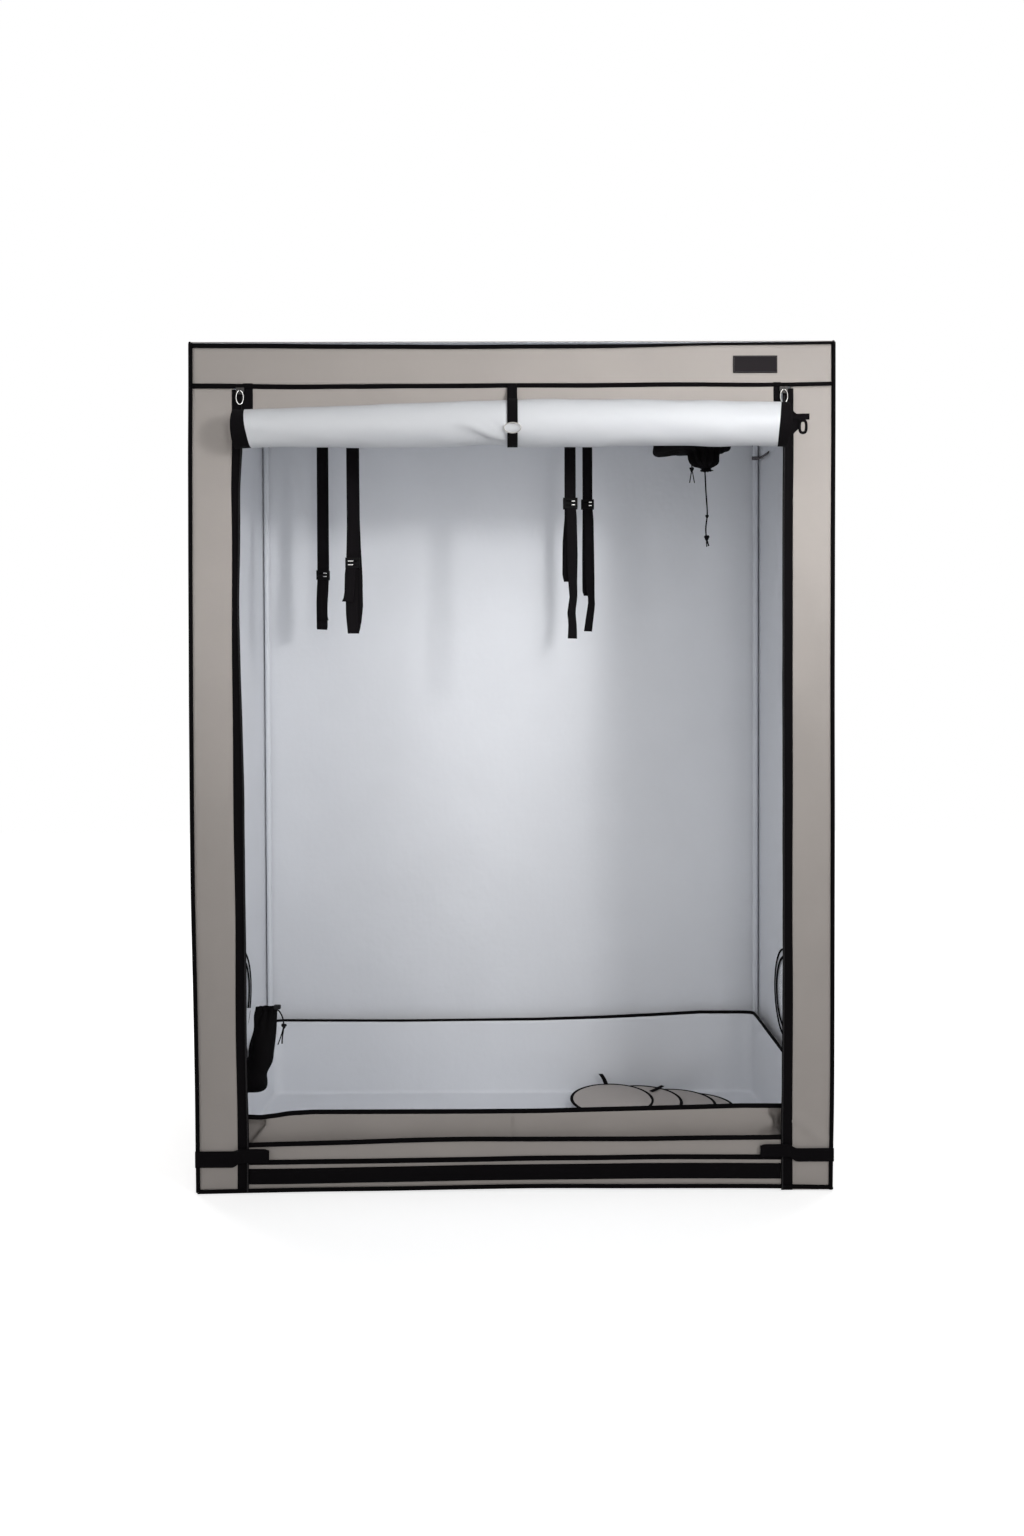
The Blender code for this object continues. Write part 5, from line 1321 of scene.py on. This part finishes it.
def strapStretches(spec):
    # The webbing's whole way in the side view, from its stitched end to its tail's end, by layer.
    layer, space, radius, bend = (strapShape[key] for key in ("layer", "tailSpace", "overBar", "straighten"))
    buckle, loopEnd = spec["buckle"], spec["loopEnd"]
    return (
        ("top", line((-layer, 0.008 - buckle), (-layer, -bend), 40)),
        ("top", line((-layer, -bend), (-radius, 0), 6)),
        ("back", arc((0, 0), radius, 180, 0, 17)),
        ("back", line((radius, 0), (layer, -bend), 6)),
        ("back", line((layer, -bend), (layer, layer - loopEnd), 90)),
        ("front", arc((0, layer - loopEnd), layer, 0, -180, 9)),
        ("front", line((-layer, layer - loopEnd), (-layer, -buckle - 0.01), 50)),
        ("tail", arc((-layer - space / 2, -buckle), space / 2, 0, 180, 9)),
        ("tail", np.linspace((-layer - space, -buckle), (-layer - space, -spec["tailEnd"]), 70)),
    )


def hangingStrapPiece(word, spec):
    # Webbing laid as one path in the side view: from its stitched end up over the bar, down to the loop's
    # end, up to the buckle, over its bar and down as the tail. Each layer moves and turns with its drop.
    stretches = strapStretches(spec)
    side = np.concatenate([points for _, points in stretches])
    which = np.concatenate([np.full(len(points), name) for name, points in stretches])
    shift, turn, share = np.zeros((3, len(side)))
    for name in ("top", "back", "front", "tail"):
        drops, *columns = np.array([(*row, 0, 1)[:4] for row in spec[name]], float).T
        here = which == name
        shift[here], turn[here], share[here] = (np.interp(-side[here, 1], drops, column) for column in columns)
    low, high = nodeBox(spec["node"])
    barX = (low[0] + high[0]) / 2
    width, across = spec["wide"] * share, np.linspace(-0.5, 0.5, 7)
    spreadX, spreadY = (wave(np.radians(turn))[:, None] * across * width[:, None] for wave in (np.cos, np.sin))
    # A turned tail stays in front of the layers that it leaves, and a turned back layer behind them.
    push = ((which == "back") * 0.5 - (which == "tail") * 0.5) * width * np.sin(np.radians(turn))
    height = np.broadcast_to(strapShape["barHeight"] + side[:, 1:], spreadX.shape)
    y = spec["bar"] + side[:, :1] + push[:, None] + spreadY
    points = gather(barX + shift[:, None] + spreadX, y, height)
    length = runLength(side)
    uv = gather(length[:, None], across * spec["wide"])
    look = {"uv": uv, "slot": "webbing", "body": None, "thickness": strapShape["thick"], "node": spec["node"]}
    piece = newPiece(f"hangingStrap_{word}", points, [gridFaces(len(side), 7)], webbingCloth, **look)
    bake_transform(piece)


def buckleBars(word, spec):
    # Two bright pins across the buckle's slots, bare where the webbing leaves them.
    low, high = nodeBox(f"buckle_{word}")
    middle, thick = (low + high) / 2, strapShape["pinThick"]
    for name, way in (("Low", -1), ("High", 1)):
        x = middle[0] + np.linspace(*spec["pins"], 12)
        y, z = low[1] - strapShape["pinOut"], middle[2] + way * strapShape["pinHeight"]
        path, look = gather(x, y, z), {"slot": "zip_metal", "body": f"buckle_{word}_body"}
        tubePiece(f"buckleBar{name}_{word}", path, thick, thick, zipMetal, **look)


for word, spec in hangingStraps.items():
    hangingStrapPiece(word, spec)
    buckleBars(word, spec)
print("hanging straps made")

# Sizes in metres, powers in watts and spreads in degrees, which are 180 where none is given
lamps = {
    "rightLamp": {"place": (1.7, -2.9, 1.72), "aim": (-0.2, 0.1, 1.2), "size": (0.4, 1.5), "power": 17.9},
    "frontLamp": {"place": (0.46, -3.4, 1.25), "aim": (0.1, 0.2, 1.1), "size": (0.45, 1.7), "power": 12.2},
    "leftLamp": {"place": (-1.7, -2.9, 1.6), "aim": (0.2, 0.1, 1.1), "size": (1.5, 1.6), "power": 5.1},
    "headLamp": {"place": (0.2, -1.5, 2.9), "aim": (0.1, -0.35, 1.4), "size": (1.4, 0.5), "power": 4.1},
    "topLamp": {
        "place": (1.75, -2.9, 1.85), "aim": (0.1, -0.4, 1.95), "size": (0.28, 0.28), "power": 1.7, "spread": 42.0,
    },
    "jambLamp": {
        "place": (1.35, -1.55, 1.95), "aim": (0.7, -0.44, 1.5), "size": (0.35, 0.5), "power": 1.1, "spread": 65.9,
    },
    "leftJambLamp": {
        "place": (-1.2, -1.55, 1.75), "aim": (-0.68, -0.44, 1.35), "size": (0.35, 0.5), "power": 0.6, "spread": 65.9,
    },
    "doorLamp": {"place": (0.0, -0.36, 0.95), "aim": (0.0, 0.6, 0.95), "size": (1.2, 1.45), "power": 1.9},
    "rearLeftLamp": {"place": (-2.8, 2.2, 2.3), "aim": (-0.3, 0.2, 1.0), "size": (1.0, 1.0), "power": 34.0},
    "rearRightLamp": {"place": (2.8, 2.0, 1.9), "aim": (0.3, 0.2, 1.0), "size": (1.0, 1.0), "power": 26.0},
    "doorTopLamp": {
        "place": (-0.05, -0.34, 1.45), "aim": (-0.15, 0.46, 1.62), "size": (1.1, 0.5), "power": 0.3, "spread": 120.0,
    },
}
# The floor's own brightness is the first one beside the tent and the second far from it, by the two distances.
backdrop = {
    "ambient": 0.12, "ambientColour": (1.0, 1.0, 1.0), "floorGlow": (0.7, 1.0), "glowDistances": (0.7, 1.8),
    "floorColour": (0.8, 0.8, 0.8), "floorLow": (-9, -7), "floorHigh": (9, 11), "floorLevel": -0.0012,
}


def addLamp(name, spec):
    # A rectangle of light, turned from its place to its aim, that the camera doesn't see.
    data = bpy.data.lights.new(name, "AREA")
    data.shape = "RECTANGLE"
    data.size, data.size_y = spec["size"]
    data.energy = spec["power"]
    data.spread = math.radians(spec.get("spread", 180))
    lamp = bpy.data.objects.new(name, data)
    lamp.location = spec["place"]
    lamp.rotation_mode = "QUATERNION"
    lamp.rotation_quaternion = (Vector(spec["aim"]) - Vector(spec["place"])).to_track_quat("-Z", "Y")
    scene.collection.objects.link(lamp)
    lamp.visible_camera = False
    lamp.visible_glossy = not name.startswith("door")


def seenDirectly(tree):
    # 1 for camera, mirror and clear rays, else 0.
    rays = addNode(tree, "LightPath").outputs
    first = addNode(tree, "Math", {0: rays["Is Camera Ray"], 1: rays["Is Glossy Ray"]}, operation="MAXIMUM")
    both = {0: first.outputs[0], 1: rays["Is Transmission Ray"]}
    return addNode(tree, "Math", both, operation="MAXIMUM").outputs[0]


def addWorld():
    # White where it is seen directly, and a weak even light for everything else.
    world = bpy.data.worlds.new("paleStudio")
    world.use_nodes = True
    tree = world.node_tree
    soft = tree.nodes["Background"]
    plug(tree, soft, {"Color": (*backdrop["ambientColour"], 1), "Strength": backdrop["ambient"]})
    white = addNode(tree, "Background", {"Color": (1, 1, 1, 1), "Strength": 1})
    mix = addNode(tree, "MixShader", {0: seenDirectly(tree), 1: soft.outputs[0], 2: white.outputs[0]})
    plug(tree, tree.nodes["World Output"], {"Surface": mix.outputs[0]})
    scene.world = world


def addFloor():
    # A wide pale sheet under the tent that glows more with its distance from it, where it is seen directly.
    (left, front), (right, back), z = backdrop["floorLow"], backdrop["floorHigh"], backdrop["floorLevel"]
    mesh = bpy.data.meshes.new("paleFloor")
    mesh.from_pydata([(left, front, z), (right, front, z), (right, back, z), (left, back, z)], [], [(0, 1, 2, 3)])
    finish = newFinish("paleFloor", backdrop["floorColour"], 0.9, specular=0.0)
    tree = finish.node_tree
    place = addNode(tree, "TexCoord").outputs["Object"]
    reach = addNode(tree, "VectorMath", {0: place}, operation="LENGTH").outputs["Value"]
    (near, far), (dim, bright) = backdrop["glowDistances"], backdrop["floorGlow"]
    ramp = {"From Min": near, "From Max": far, "To Min": dim, "To Max": bright, "Value": reach}
    level = addNode(tree, "MapRange", ramp, interpolation_type="SMOOTHSTEP").outputs["Result"]
    glow = addNode(tree, "Math", {1: level}, operation="MULTIPLY")
    plug(tree, glow, {0: seenDirectly(tree)})
    shader = tree.nodes["Principled BSDF"]
    plug(tree, shader, {"Emission Color": (1, 1, 1, 1), "Emission Strength": glow.outputs[0]})
    mesh.materials.append(finish)
    floor = bpy.data.objects.new("paleFloor", mesh)
    scene.collection.objects.link(floor)


for name, spec in lamps.items():
    addLamp(name, spec)
addWorld()
addFloor()
scene.view_settings.view_transform = "Standard"
print("light and floor set")
